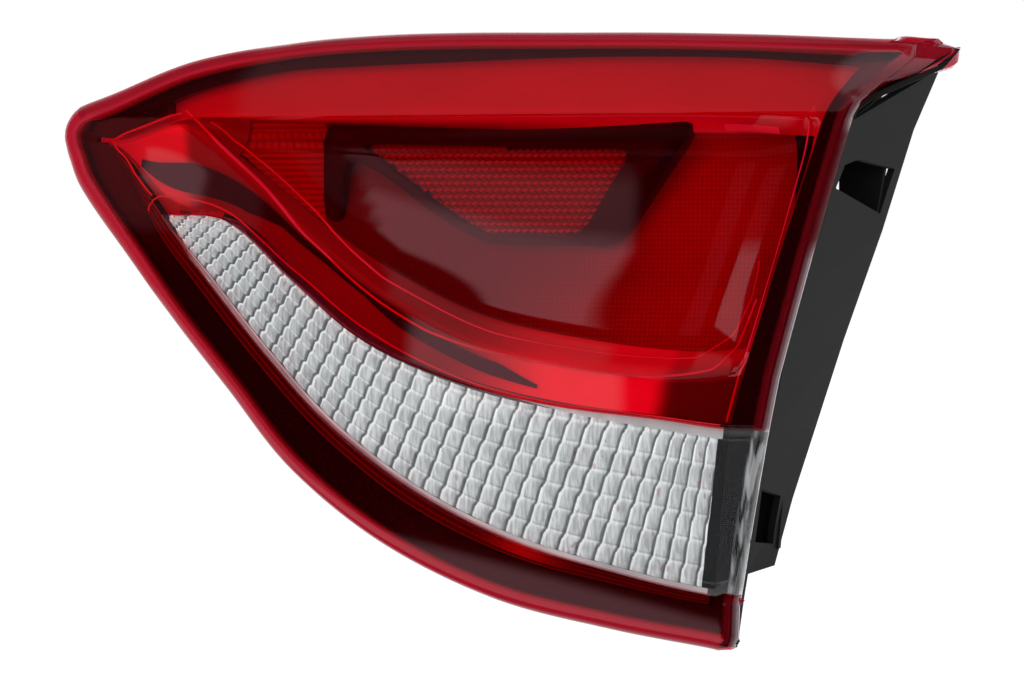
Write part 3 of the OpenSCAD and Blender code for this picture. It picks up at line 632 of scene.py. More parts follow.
# %% [markdown]
# The rim needs the direction out of the face at each point of its edge, and
# the radius of its fillet. At the upper outer corner the real lens has an ear
# that flares out sideways and reaches further back, so ear() says where that
# is, and all pieces with an edge there read it.

# %% Edge of the face
def outward(s, t):
    """Direction out of the face, in the front view, at its edge."""
    e = 1e-3
    along_s = (plan(np.minimum(s + e, END), t)
               - plan(np.maximum(s - e, 0), t))
    along_t = (plan(s, np.minimum(t + e, TOP))
               - plan(s, np.maximum(t - e, 0)))
    a = np.stack([along_s[:, 1], -along_s[:, 0]], 1)
    b = np.stack([along_t[:, 1], -along_t[:, 0]], 1)
    a /= np.linalg.norm(a, axis=1)[:, None]
    b /= np.linalg.norm(b, axis=1)[:, None]
    out = (a * (t <= 0)[:, None] - a * (t >= TOP)[:, None]
           + b * (s > END - 1e-4)[:, None] - b * (s <= 0)[:, None])
    return out / np.linalg.norm(out, axis=1)[:, None]


def ear(x, z):
    """1 at the tip of the ear and 0 away from it."""
    return ease((z - 92) / 11) * ease((x - 104) / 32)


def fillet_of(s):
    """The fillet of the rim, which is wider round the inner tip."""
    return 4 + 2.5 * np.maximum(0, 1 - s / 2)


print("fillet at the tip and at the end:", fillet_of(np.array([0, END])))


# %% [markdown]
# Extruding an edge loop again and again is how a rolled edge is made by hand,
# too: each new loop is moved a step further. Because the new vertices keep
# their station and row, one function can say where each of them belongs.

# %% Rim of the lens
def extrude_rim(bm, edges, steps, where):
    """Extrudes an edge loop once for each step, and moves what is new to
    where(s, t, step) says."""
    station = bm.verts.layers.float["station"]
    row = bm.verts.layers.float["row"]
    for step in steps:
        made = bmesh.ops.extrude_edge_only(bm, edges=edges)["geom"]
        edges = [g for g in made if isinstance(g, bmesh.types.BMEdge)]
        verts = [g for g in made if isinstance(g, bmesh.types.BMVert)]
        s = np.array([v[station] for v in verts])
        t = np.array([v[row] for v in verts])
        for vert, p in zip(verts, where(s, t, step)):
            vert.co = p
    return edges


RIM_DEEP, EAR_DEEP, EAR_SIDE, EAR_DROOP = 7.5, 8, 12, 0.1
FILLET_END = math.radians(90)
RIM_STEPS = [(math.radians(a), 0) for a in range(15, 91, 15)] \
    + [(FILLET_END, d) for d in (0.25, 0.5, 0.75, 1)]


def lens_rim(s, t, step):
    """A point of the rim: step is (angle round the fillet, share of the
    straight wall)."""
    turn, drop = step
    at, out, r = plan(s, t), outward(s, t), fillet_of(s)
    near_ear = ear(at[:, 0], at[:, 1])
    deep = RIM_DEEP + EAR_DEEP * near_ear
    side = drop * EAR_SIDE * near_ear
    p = face(s, t) / MM
    p[:, 0] += out[:, 0] * r * math.sin(turn) + side
    p[:, 1] += r - r * math.cos(turn) + (deep - r) * drop
    p[:, 2] += out[:, 1] * r * math.sin(turn) - side * EAR_DROOP
    return p * MM


print("the rim is extruded in", len(RIM_STEPS), "steps")


# %% [markdown]
# Two numbers on the vertices steer the lens finishes. One says where the
# plastic is thick, which is the rim. The other is a painted mask on the
# reflection: it lowers the polish by place, so that a mirrored softbox shows
# only where it does on the real lamp, whose lens is polished evenly.

# %% Where the lens is thick, and where it shines
def thick_rim(s, t):
    """1 at the edge of the face and 0 a few millimetres inside it."""
    at = plan(s, t)

    def gap(s2, t2):
        return np.linalg.norm(plan(s2, t2) - at, axis=1)

    low, high = np.zeros(len(s)), np.full(len(s), float(TOP))
    near = np.minimum(gap(s, low), gap(low, t))
    return np.maximum(1 - ease((near - 0.8) / 1.6),
                      1 - ease(gap(s, high) / 1.2))


def shine_of(s, t):
    """A painted mask on the reflection, not a real change of polish: how much of
    the room a place mirrors. In the dish only a patch at its inner side and a
    strip at its outer end shine. Outside it everything shines but the inner
    corner, in which one patch does."""
    in_dish = (t > DISH_LOW + 0.02) & (t < RIDGE)
    left = ease((s - 2.94 - (4.72 - t) * 1.67) / 0.12 + 0.5)
    patch = left * (1 - 0.7 * ease((t - 4.46) / 0.08)) * ease((4.8 - t) / 0.1)
    patch = patch * (1 - ease((s - 6.25) / 0.2))
    strip = ease((s - 7.24) / 0.06) * ease((4.52 - t) / 0.05)
    corner = (ease((s - 0.87) / 0.08) * ease((3.72 - t) / 0.1)
              * ease((t - 3.08) / 0.05) * ease((1.7 - s) / 0.15))
    on_lip = (t > WINDOW_TOP) & (t < DISH_LOW + 0.1)
    past = ease((s - np.where(on_lip, 4.3, 1.6)) / 0.3)
    return np.where(in_dish, 0.08 + 0.92 * np.maximum(patch, strip),
                    0.15 + 0.85 * np.maximum(corner, past))


def rim_share(v, station, row, clear):
    """How much body colour the extruded rim shows. Its outer side is thin,
    and the clear plastic shows more of it there than the red, which becomes
    painted highlight streaks."""
    if v[station] > END - 0.01 and v[row] < TOP - 0.1:
        at_ear = float(ear(v.co.x / MM, v.co.z / MM))
        return 0.12 + 0.6 * at_ear + 0.4 * clear
    return 0.65 if v[row] > TOP - 0.1 else 1.0


print("shine in the middle of the dish:", shine_of(*np.array([[5.0], [4.5]])))


# %% [markdown]
# Both colours come from the same mesh, which is made twice: once without the
# window's faces and once with only them, as the real lens is moulded in two
# shots in one tool. Solidify gives both their wall inwards.

# %% Make both colours of the lens
LENS_WALL = 2.5


def lens_piece(clear):
    bm = bmesh.new()
    for name in ("rim", "shine"):
        bm.verts.layers.float.new(name)
    on_face = sheet(bm, LENS_STATIONS, LENS_ROWS, 0.0, round_window_end)
    rim, station, row = (bm.verts.layers.float[n]
                         for n in ("rim", "station", "row"))
    edges = [e for e in bm.edges if e.is_boundary]
    extrude_rim(bm, edges, RIM_STEPS, lens_rim)
    for v in bm.verts:
        v[rim] = rim_share(v, station, row, clear)
    paint(bm, "rim", thick_rim, on_face)
    paint(bm, "shine", shine_of)

    def in_window(f):
        t = sum(v[row] for v in f.verts) / len(f.verts)
        s = min(v[station] for v in f.verts)
        return (WINDOW_LOW < t < WINDOW_TOP
                and s >= WINDOW_IN + end_round(t) - 0.03)

    unwanted = [f for f in bm.faces if in_window(f) != clear]
    bmesh.ops.delete(bm, geom=unwanted, context="FACES")
    turn_to_front(bm)
    return bm


lens = finish_piece(lens_piece(False), "lens_red_moulding", red_lens,
                    ["outer_lens"], 0.5)
window = finish_piece(lens_piece(True), "lens_clear_window", clear_lens,
                      ["reverse_window"], 0.5)
for piece in (lens, window):
    wall = piece.modifiers.new("wall", "SOLIDIFY")
    wall.thickness, wall.offset = LENS_WALL * MM, -1
    corners = [Vector(c) for c in piece.bound_box]
    print(piece.name, "in mm",
          [round(min(c[i] for c in corners) / MM, 1) for i in range(3)],
          [round(max(c[i] for c in corners) / MM, 1) for i in range(3)])

# %% [markdown]
# ## The bezel
# A black moulding frames everything behind the lens. It is gloss plastic from
# a polished mould, so its finish is nearly black, with a polish that is
# broken by handling marks and a fine orange peel.

# %% Black gloss moulding
def gloss_finish(name, colour, roughness, wear=0.25):
    """Moulded gloss plastic; wear says how uneven its colour is."""
    finish, tree = new_finish(name)
    cloud = noise(tree, 60.0, 3.0)
    peel = noise(tree, 900.0, 2.0)
    dark = tuple(c * (1 - wear) for c in colour) + (1,)
    show(tree, principled(tree, {
        "Base Color": mix_colour(tree, cloud.between(0.35, 0.65), dark,
                                 tuple(colour) + (1,)),
        "Roughness": roughness + cloud * 0.06 + peel * 0.02,
        "Normal": bump(tree, peel, 0.02 * MM, 0.4)}))
    return finish


bezel_black = gloss_finish("bezel_black", (0.012, 0.011, 0.012), 0.09)
print("finish:", bezel_black.name)


# %% [markdown]
# The bezel's front follows the face a few millimetres behind it, and its
# inner edge turns back into a wall that hides where the optics stop. The
# front and the outer flank are one sheet with a hole, and the wall is
# extruded from the edge of the hole. At the inner corner the wall is left
# short, because the lamp shows red there.

# %% Make the bezel
BEZEL_BACK, BEZEL_OUT = 4.0, 1.0
FLANK_BACK, FLANK_DEEP, FLANK_EAR = 4.8, 7.0, 9
WALL_LIP, WALL_STEPS = 4.6, [7, 10, 13]


def bezel_warp(s, t):
    """Slides the inner edge of the opening: away from the tip of the lamp
    beside the brow, and a little towards it below the brow."""
    near = np.where(s < OPEN_IN, s / OPEN_IN, ease((2.4 - s) / 2.0))
    brow = ease((t - 5.25) / 0.55) * ease((TOP - t) / 0.9)
    corner = ease((t - 2.6) / 0.8) * ease((5.6 - t) / 0.5)
    return s + (0.62 * brow - 0.2 * corner) * near, t


def bezel_flank(s, t, back):
    """The flank, a little outside the face and drawn out at the ear."""
    at, out = plan(s, t), outward(s, t)
    near_ear = ear(at[:, 0], at[:, 1])
    last = back == FLANK_DEEP
    side = FLANK_EAR * near_ear * last
    p = face(s, t) / MM
    p[:, 0] += out[:, 0] * BEZEL_OUT + side
    p[:, 1] += back + EAR_DEEP * near_ear * last
    p[:, 2] += out[:, 1] * BEZEL_OUT - side * EAR_DROOP
    return p * MM


def middle(f, layer):
    """The mean of a number over the corners of a face."""
    return sum(v[layer] for v in f.verts) / len(f.verts)


def in_opening(s, t):
    lowest = bezel_warp(np.array([OPEN_IN]), np.array([t]))[0][0]
    return lowest < s < OPEN_OUT and BEZEL_LOW < t < BEZEL_TOP


bm = bmesh.new()
sheet(bm, spread([0, 0.2, OPEN_IN, 0.9, WINDOW_IN, 2, 4, 6, 7.9, OPEN_OUT,
                  8.1, END], 0.08),
      spread([0, 0.5, 1, 2, 3, 4, 5, 6, 7, 7.5, 8], 0.1), BEZEL_BACK,
      bezel_warp)
station, row = (bm.verts.layers.float[n] for n in ("station", "row"))
outer_edge = [e for e in bm.edges if e.is_boundary]
hole = [f for f in bm.faces if in_opening(middle(f, station), middle(f, row))]
bmesh.ops.delete(bm, geom=hole, context="FACES")
inner_edge = [e for e in bm.edges if e.is_boundary and e not in outer_edge]
extrude_rim(bm, outer_edge, [FLANK_BACK, FLANK_DEEP], bezel_flank)
inner_edge = extrude_rim(bm, inner_edge, [WALL_LIP], face)
short = [e for e in inner_edge
         if all(v[station] < 1.2 and 2.9 < v[row] < 6 for v in e.verts)]
extrude_rim(bm, [e for e in inner_edge if e not in short], WALL_STEPS, face)
bmesh.ops.recalc_face_normals(bm, faces=bm.faces)
turn_to_front(bm)
finish_piece(bm, "bezel_moulding", bezel_black, ["bezel"], 0.6)

# %% [markdown]
# ## Laying flat grids behind the face
# The small pillows of the optics run level and upright, whatever way the
# lamp's edges run, so they can't lie on stations and rows. The depth of the
# face is then found with a ray: a coarse copy of the face is kept in a tree,
# which tells where a ray from the front hits it.

# %% A face to measure from
ruler = bmesh.new()
sheet(ruler, spread([0, END], 0.04), spread([0, 4, 4.05, 4.95, 5, 8], 0.05))
face_tree = BVHTree.FromBMesh(ruler)
ruler.free()


def depth_of_face(x, z):
    """How far back the face lies at a place in the front view, in metres."""
    hit = face_tree.ray_cast(Vector((x, -1, z)), Vector((0, 1, 0)))[0]
    return None if hit is None else hit.y


print("the face lies at", round(depth_of_face(0, 0) / MM, 2), "mm at [0, 0]")


# %% [markdown]
# Such a sheet starts as a flat grid. It is cut to the outline of the dish
# with planes, one for each side of the outline, and then each vertex is moved
# back to a set depth behind the face.

# %% Cut a flat grid and lay it behind
def upright_grid(bm, low, high, pitch):
    """A grid in the front view with even cells, given in millimetres."""
    nx = round((high[0] - low[0]) / pitch)
    nz = round((high[1] - low[1]) / pitch)
    bmesh.ops.create_grid(bm, x_segments=nx, y_segments=nz, size=0.5)
    wide, tall = nx * pitch * MM, nz * pitch * MM
    bmesh.ops.scale(bm, vec=(wide, tall, 1), verts=bm.verts)
    bmesh.ops.rotate(bm, verts=bm.verts, matrix=Matrix.Rotation(
        math.radians(90), 3, "X"))
    bmesh.ops.translate(bm, verts=bm.verts, vec=(
        low[0] * MM + wide / 2, 0, low[1] * MM + tall / 2))


def cut_to(bm, outline):
    """Cuts a flat sheet along the sides of an outline that bulges outwards
    everywhere, and keeps what is inside. The outline runs clockwise."""
    points = [Vector(p) * MM for p in outline]
    for a, b in zip(points, points[1:] + points[:1]):
        side = b - a
        out_way = Vector((-side.y, 0, side.x))
        if out_way.length < 1e-6:
            continue
        geom = bm.verts[:] + bm.edges[:] + bm.faces[:]
        bmesh.ops.bisect_plane(bm, geom=geom, dist=1e-6,
                               plane_co=(a.x, 0, a.y), plane_no=out_way,
                               clear_outer=True)


def lay_behind(bm, depth, height=None):
    """Lays the sheet behind the face. height(x, z) brings it forward."""
    lost = []
    for v in bm.verts:
        y = depth_of_face(v.co.x, v.co.z)
        if y is None:
            lost.append(v)
            continue
        lift = height(v.co.x / MM, v.co.z / MM) if height else 0.0
        v.co.y = y + (depth - lift) * MM
    bmesh.ops.delete(bm, geom=lost, context="VERTS")


def outline_of(s_from, s_to, t_low, t_high, n=20):
    """Clockwise outline of a patch of the face in the front view."""
    s = np.linspace(s_from, s_to, n)
    top = plan(s, np.full(n, t_high))
    low = plan(s[::-1], np.full(n, t_low))
    return [tuple(p) for p in top] + [tuple(p) for p in low]


print("a patch has an outline of", len(outline_of(2, 7, 4, 5)), "points")

# %% [markdown]
# ## Red mouldings behind the lens
# Behind the red lens lies a plain red moulding that fills the brow and the
# strip under the dish, and in the dish a sheet of small pillows that spreads
# the light of the bulbs. All are one plastic whose colour runs between a dark
# and a bright shade, and that is painted light and shade: which shade a place
# has is a number on its vertices, which follows the shape of the lamp. In the
# plain moulding the bright shade also gives a little light of its own, a
# painted glow, though it is no lamp.

# %% Red finishes
def red_finish(name, dark, bright, roughness, glow=None, metallic=0.0,
               lit=0.0):
    """Red plastic between two shades, which are painted light and shade. glow
    names the number that says where it is painted bright; without it the
    shade only drifts a little, as the plastic's own uneven tone."""
    finish, tree = new_finish(name)
    cloud = noise(tree, 25.0, 2.0, (1, 1, 3))
    fine = noise(tree, 1200.0, 2.0)
    if glow:
        light = mark(tree, glow) * (0.9 + cloud * 0.2)
    else:
        light = cloud.between(0.2, 0.8)
    show(tree, principled(tree, {
        # Painted glow: the bright shade gives light of its own, as much as lit says.
        "Emission Color": mix_colour(tree, light ** 3, (0, 0, 0, 1), bright),
        "Emission Strength": lit,
        "Base Color": mix_colour(tree, light, dark, bright),
        "Roughness": roughness + fine * 0.06,
        "Metallic": metallic,
        "Normal": bump(tree, fine, 0.02 * MM, 0.3)}))
    return finish


# The plain moulding is painted between these shades and glows a little.
red_plain = red_finish("red_moulding", (0.04, 0.001, 0.004, 1),
                       (0.9, 0.05, 0.3, 1), 0.22, "glow", 0.0, 0.38)
red_pillows = red_finish("red_pillows", (0.06, 0.002, 0.004, 1),
                         (0.86, 0.03, 0.04, 1), 0.15, "glow")
# The cubes' faces are painted lit or shaded by a number on each face.
red_cubes = red_finish("red_cubes", (0.24, 0.01, 0.03, 1),
                       (0.66, 0.2, 0.3, 1), 0.1, "facet_shade", 0.2)
# Bright pink for the ribs: a painted highlight.
rib_highlight_pink = red_finish("rib_highlight_pink", (0.8, 0.1, 0.25, 1), (1, 0.35, 0.5, 1), 0.12)
print("red finishes:", [m.name for m in (red_plain, red_pillows, red_cubes,
                                         rib_highlight_pink)])


# %% [markdown]
# The plain moulding is a sheet behind the face, from below the dish to the
# top of the brow. Its bay for the pillow sheet is a hole whose edge is turned
# back, and its inner end is turned forward to close the gap to the lens.

# %% Plain red moulding
MOULDING_BACK = 10.0
BAY_IN, BAY_OUT, BAY_LOW, BAY_TOP = 1.75, 7.85, 4.1, 4.93


def moulding_glow(s, t):
    """Painted light and shade of the plain moulding. Even in the brow. Under
    the dish it is dark inboard, bright over the middle of the window, dark
    again near the outer end, and brightest along the lip. The inner corner
    is bright too."""
    brow = 0.62 + 0.06 * ease((5.4 - t) / 0.3)
    below_lip = ease((4.04 - t) / 0.05)
    bright = ease((s - 4.6) / 1.3) * (1 - ease((s - 6.75) / 0.3) * below_lip)
    bright = bright * (1 - 0.35 * ease((t - 3.92) / 0.06))
    lip = 0.12 * np.exp(-((t - 3.95) / 0.06) ** 2)
    under = 0.28 + 0.72 * bright - 0.16 * ease((s - 6.85) / 0.12) + lip
    corner = ease((1.35 - s - 0.25 * (t - 3.5)) / 0.12) * 0.5
    return np.where(t > 4.98, brow, np.clip(under + corner, 0, 1))


def warped_face(s, t, back):
    return face(*round_window_end(s, t), back)


bm = bmesh.new()
bm.verts.layers.float.new("glow")
sheet(bm, spread([0.24, BAY_IN, 6.8, 7.0, BAY_OUT, 7.97], 0.06),
      spread([3.05, 3.8, BAY_LOW, BAY_TOP, 5.03, 7.0], 0.05), MOULDING_BACK,
      round_window_end)
paint(bm, "glow", moulding_glow)
station, row = (bm.verts.layers.float[n] for n in ("station", "row"))
bay = [f for f in bm.faces if BAY_IN < middle(f, station) < BAY_OUT
       and BAY_LOW < middle(f, row) < BAY_TOP]
bmesh.ops.delete(bm, geom=bay, context="FACES")
sill = [e for e in bm.edges if e.is_boundary
        and all(1.7 < v[station] < 7.9 and 4.05 < v[row] < 4.95
                for v in e.verts)]
extrude_rim(bm, sill, [MOULDING_BACK + 0.4, MOULDING_BACK + 2.5], face)
end_edge = [e for e in bm.edges if e.is_boundary
            and all(v[station] < 0.25 for v in e.verts)]
extrude_rim(bm, end_edge, [8, 5], warped_face)
turn_to_front(bm)
finish_piece(bm, "red_moulding", red_plain)

# %% [markdown]
# Inboard of the window's round end the lamp is red too. A small plain sheet
# fills that corner at one even level of painted light, and like the plain
# moulding it glows a little.

# %% Red corner
CORNER_BACK, CORNER_GLOW = 9.4, 0.45
bm = bmesh.new()
bm.verts.layers.float.new("glow")
sheet(bm, spread([0.24, 1.8], 0.06), spread([2.0, 3.06], 0.1), CORNER_BACK)
paint(bm, "glow", lambda s, t: np.full(len(s), CORNER_GLOW))
turn_to_front(bm)
finish_piece(bm, "red_corner", red_plain)

# %% [markdown]
# The pillow sheet is pressed with rows of small domes. A dome is a wave in
# both directions, on three cells of the grid for each pillow. The same wave
# also paints light and shade into the plastic's colour, because a real pillow
# is bright only where it looks at the bowl behind it.

# %% Shape and light of a pillow
PILLOW, PILLOW_HIGH = 1.6, 0.5
POST_X = -66            # the dark post stands here
BAND = (69, 76)         # inboard of the post, larger pillows are in this band
STOP_BULB = (76, 46)


def dome(x, z, wide, tall):
    return math.sqrt(abs(math.sin(math.pi * x / wide)
                         * math.sin(math.pi * z / tall)))


def pillow_swell(x, z):
    """0 in the valleys and 1 on top of a pillow. Inboard of the dark post the
    sheet has level flutes, under one band of larger pillows."""
    if x >= POST_X:
        return dome(x, z, PILLOW, PILLOW)
    if BAND[0] < z < BAND[1]:
        return dome(x, z - BAND[0], 2.9, 3.4)
    return abs(math.sin(math.pi * z / 2.2))


def glow_behind(x, z):
    """Painted light and shade of the sheet, standing in for the lit bulbs. It
    is bright in front of the metallised bowl of the stop bulb, dark inboard
    of that, and a little brighter low down. Inboard of the post it is
    painted evenly, as the tail bulb would light it."""
    if x < POST_X:
        return 0.52
    far = math.hypot(x - STOP_BULB[0], (z - STOP_BULB[1]) * 0.8)
    stop = math.exp(-(far / 44) ** 2) * 0.45
    low = 0.16 * float(ease((28 - z) / 20)) * float(ease((x + 20) / 60))
    return 0.09 + stop + low


print("glow at the stop bulb:", round(glow_behind(*STOP_BULB), 2))

# %% [markdown]
# The flat grid is larger than the dish. The outline that it is cut to reaches
# a little under the plain moulding on all sides, so that no gap shows.

# %% Pillows in the dish
PILLOWS_BACK = 11.5
bm = bmesh.new()
for name in ("glow", "swell"):
    bm.verts.layers.float.new(name)
upright_grid(bm, (-118, -14), (112, 82), PILLOW / 3)
cut_to(bm, outline_of(1.75, 7.87, 4.09, 4.985))
lay_behind(bm, PILLOWS_BACK, lambda x, z: PILLOW_HIGH * pillow_swell(x, z))
glow, swell = (bm.verts.layers.float[n] for n in ("glow", "swell"))
for v in bm.verts:
    x, z = v.co.x / MM, v.co.z / MM
    v[swell] = pillow_swell(x, z)
    # Painted light: each pillow is painted brighter on its crest.
    v[glow] = glow_behind(x, z) * (0.35 + 0.7 * v[swell])
turn_to_front(bm)
finish_piece(bm, "red_pillow_sheet", red_pillows,
             ["pillow_optic"], 1.2)

# %% [markdown]
# ## Dark plate and painted shade strip
# A black plate stands in front of the pillow sheet and holds the reflex
# reflector, with a post down its inner side. Only its outline is typed in: two
# rings of edges are filled with triangles, extruded forward, and their edges
# are bevelled.

# %% Plate round the reflector
def rounded(outline, cut):
    """The outline with an arc of three points for each corner."""
    made = []
    points = [Vector(p) for p in outline]
    for i, here in enumerate(points):
        ends = []
        for there in (points[i - 1], points[(i + 1) % len(points)]):
            side = there - here
            ends.append(here + side.normalized()
                        * min(cut, 0.4 * side.length))
        made += [ends[0], (ends[0] + ends[1] + here * 2) / 4, ends[1]]
    return [tuple(p) for p in made]


REFLEX = rounded([(-53, 71), (54, 69), (34, 38), (-4, 39), (-21, 49),
                  (-42, 64)], 6)
PLATE = rounded([(-67, 79), (79, 79), (47, 34), (36, 34.5), (-4.5, 35.5),
                 (-23.5, 46), (-44, 60.5), (-58.5, 67), (-58.5, 42),
                 (-67, 44)], 7)
# One black finish for the real plate and for the painted shade strip below the dish.
black_plate_and_painted_shade = gloss_finish("black_plate_and_painted_shade", (0.010, 0.008, 0.009), 0.25)
PLATE_BACK, PLATE_THICK, PLATE_BEVEL = -61.5, 8, 0.5


def ring(bm, outline, y):
    verts = [bm.verts.new(Vector((x, y, z)) * MM) for x, z in outline]
    return [bm.edges.new((a, b)) for a, b in zip(verts, verts[1:] + verts[:1])]


bm = bmesh.new()
edges = ring(bm, PLATE, PLATE_BACK) + ring(bm, REFLEX, PLATE_BACK)
bmesh.ops.triangle_fill(bm, edges=edges, use_beauty=True, use_dissolve=False)
bmesh.ops.dissolve_limit(bm, angle_limit=0.01, verts=bm.verts, edges=bm.edges)
front = bmesh.ops.extrude_face_region(bm, geom=bm.faces[:])["geom"]
front = [g for g in front if isinstance(g, bmesh.types.BMVert)]
bmesh.ops.translate(bm, vec=(0, -PLATE_THICK * MM, 0), verts=front)
bmesh.ops.recalc_face_normals(bm, faces=bm.faces)
sharp = [e for e in bm.edges if e.calc_face_angle(0) > 0.5]
bmesh.ops.bevel(bm, geom=sharp, offset=PLATE_BEVEL * MM, offset_type="OFFSET",
                affect="EDGES", segments=2, profile=0.5, material=-1,
                clamp_overlap=True)
finish_piece(bm, "reflector_plate", black_plate_and_painted_shade,
             ["reflex_frame"], 0.5)

# %% [markdown]
# Under the lip of the dish a narrow black strip paints the shade that lies
# there; it is no real part of the lamp. It is a strip of the face between two
# curves of its own, given as rows at a few stations, and it lies just in front
# of the red moulding.

# %% Painted shade strip under the lip of the dish
SHADE_STRIP_TOP = ([0.6, 1.33, 1.84, 2.41, 3.12, 3.67, 4.18, 4.71, 5.3, 5.72],
              [3.3, 3.59, 3.71, 3.78, 3.83, 3.84, 3.82, 3.75, 3.66, 3.36])
SHADE_STRIP_LOW = ([0.6, 1.5, 2.08, 2.4, 2.56, 3.22, 3.75, 4.18, 4.7, 5.24, 5.72],
              [3.12, 3.25, 3.3, 3.5, 3.62, 3.69, 3.68, 3.53, 3.44, 3.33, 3.27])
SHADE_STRIP_BACK = 8.4


def shade_strip_warp(s, v):
    """Spreads the shares v between the shade strip's two curves."""
    low, top = np.interp(s, *SHADE_STRIP_LOW), np.interp(s, *SHADE_STRIP_TOP)
    return s, low + (top - low) * v


bm = bmesh.new()
sheet(bm, spread([0.72, 5.72], 0.06), list(np.linspace(0, 1, 9)), SHADE_STRIP_BACK,
      shade_strip_warp)
turn_to_front(bm)
finish_piece(bm, "lip_shade_strip", black_plate_and_painted_shade)

# %% [markdown]
# ## Fine ribs with painted highlights
# A real moulding is full of thin lines: the lip of the dish has two, a ridge
# frames the inner corner, one runs round the end of the window, and a short
# bright bar lies under the brow. Here each is a low raised strip whose bright
# pink is a painted highlight, the glint that the real crease catches. Each is
# given by its width in millimetres and by a path of stations and rows.

# %% Paths of the ribs
RIBS = [
    # round the inner corner
    (0.8, [(1.19, 5.44), (0.83, 5.56), (0.52, 5.9), (0.40, 4.68), (0.45, 3.3),
           (0.75, 2.99), (1.03, 2.92)]),
    # outer and inner line of the dish's lip
    (0.9, [(1.21, 5.7), (1.29, 4.87), (1.43, 4.34), (1.59, 4.16), (1.73, 4.12),
           (1.90, 4.10), (2.46, 4.04), (2.79, 4.01), (3.21, 3.98),
           (3.62, 3.90), (4.01, 3.85), (4.55, 3.82), (5.27, 3.93),
           (5.95, 3.98), (6.62, 4.0), (7.55, 4.03), (7.78, 4.11),
           (7.82, 4.30)]),
    (0.7, [(1.46, 4.72), (1.69, 4.41), (1.96, 4.31), (2.28, 4.25),
           (2.58, 4.21), (2.88, 4.18), (3.17, 4.13), (3.43, 4.10),
           (3.89, 4.07), (4.43, 4.07), (5.18, 4.06), (6.56, 4.07),
           (7.25, 4.08), (7.66, 4.16), (7.74, 4.30), (7.68, 4.45)]),
    # round the window's inner end and over its top edge
    (0.7, [(0.97, 1.25), (0.91, 1.8), (0.98, 2.5), (1.06, 3.0), (1.13, 3.08),
           (1.35, 3.17), (1.54, 3.19), (1.73, 3.19), (1.93, 3.16),
           (2.35, 3.12), (3.27, 3.2), (4.09, 3.2), (5.29, 3.06),
           (5.98, 3.04), (6.62, 3.07), (7.34, 3.05), (7.9, 3.05)]),
    # down the outer end, along the ridge, and the bar under the brow, a painted glint
    (0.8, [(7.85, 5.5), (7.86, 4.87), (7.93, 4.50), (7.96, 4.18), (7.96, 3.90),
           (7.95, 3.10)]),
    (0.6, [(1.9, 5.0), (4.5, 4.99), (7.8, 4.99)]),
    (2.4, [(6.84, 4.95), (7.15, 4.95), (7.5, 4.945)]),
]
print(len(RIBS), "ribs with", sum(len(path) for _, path in RIBS), "points")

# %% [markdown]
# Each rib is a narrow strip, raised along its middle. It starts as a grid,
# like the sheets before it. A path typed in as points has corners, so each
# point of the strip is the mean of five places around it, which rounds them.

# %% Raise the ribs
RIB_BACK, RIB_HIGH, RIB_STEP = 3.0, 0.35, 1.5


def smooth_path(path):
    """Even points along a path, each at the mean place of five around it."""
    path = np.array(path)
    legs = np.linalg.norm(np.diff(plan(*path.T), axis=0), axis=1)
    run = np.concatenate([[0], np.cumsum(legs)])
    steps = np.linspace(0, run[-1], int(run[-1] / RIB_STEP) + 1)[:, None]
    around = np.clip(steps + np.linspace(-RIB_STEP, RIB_STEP, 5), 0, run[-1])
    s, t = (np.interp(around, run, path[:, k]).mean(axis=1) for k in (0, 1))
    return plan(s, t)


def rib(bm, wide, path):
    """A raised strip, wide millimetres across, along a path on the face."""
    line = smooth_path(path)
    n = len(line) - 1
    made = bmesh.ops.create_grid(bm, x_segments=n, y_segments=4,
                                 size=1)["verts"]
    along = np.gradient(line, axis=0)
    along /= np.linalg.norm(along, axis=1)[:, None]
    for v in made:
        i = round((v.co.x + 1) / 2 * n)
        side = v.co.y * wide / 2
        x = line[i, 0] - along[i, 1] * side
        z = line[i, 1] + along[i, 0] * side
        y = depth_of_face(x * MM, z * MM)
        lift = RIB_HIGH * math.cos(v.co.y * math.pi / 2)
        v.co = Vector((x, y / MM + RIB_BACK - lift, z)) * MM


bm = bmesh.new()
for wide, path in RIBS:
    rib(bm, wide, path)
turn_to_front(bm)
finish_piece(bm, "fine_ribs", rib_highlight_pink, (), 1.5)

# %% [markdown]
# ## The reflex reflector
# A reflex reflector is an array of corner cubes: three square faces that meet
# at right angles send light back the way it came. One cell is a cube stood on
# its corner with its front three faces taken off. It is copied over a
# honeycomb, and copies outside the outline are left out. Real cubes are used
# and not a picture of them, because they catch the light as real ones do.

# %% Corner cubes
CELL = 2.8
EDGE = CELL / math.sqrt(2)


def inside(outline, x, z):
    """Whether a level line from the point crosses the outline an odd number
    of times."""
    hit = False
    for (ax, az), (bx, bz) in zip(outline, outline[1:] + outline[:1]):
        if (az > z) != (bz > z) and x < (bx - ax) * (z - az) / (bz - az) + ax:
            hit = not hit
    return hit


def one_cell(bm):
    """Three faces of a cube that meet at a corner pointing back."""
    made = bmesh.ops.create_cube(bm, size=EDGE * MM)["verts"]
    stand = Vector((1, 1, 1)).rotation_difference(Vector((0, 1, 0)))
    bmesh.ops.rotate(bm, verts=made, matrix=stand.to_matrix())
    bm.normal_update()
    front = [f for f in bm.faces if f.normal.y < 0]
    bmesh.ops.delete(bm, geom=front, context="FACES")
    bmesh.ops.reverse_faces(bm, faces=bm.faces)
    tips = bm.verts[:]
    spoke = max(tips, key=lambda v: (v.co.x ** 2 + v.co.z ** 2, v.co.z)).co
    angle = math.atan2(spoke.z, spoke.x)
    bmesh.ops.rotate(bm, verts=tips, matrix=Matrix.Rotation(
        angle - math.radians(90), 3, "Y"))


print("a cell is", CELL, "mm wide, from a cube of", round(EDGE, 2))
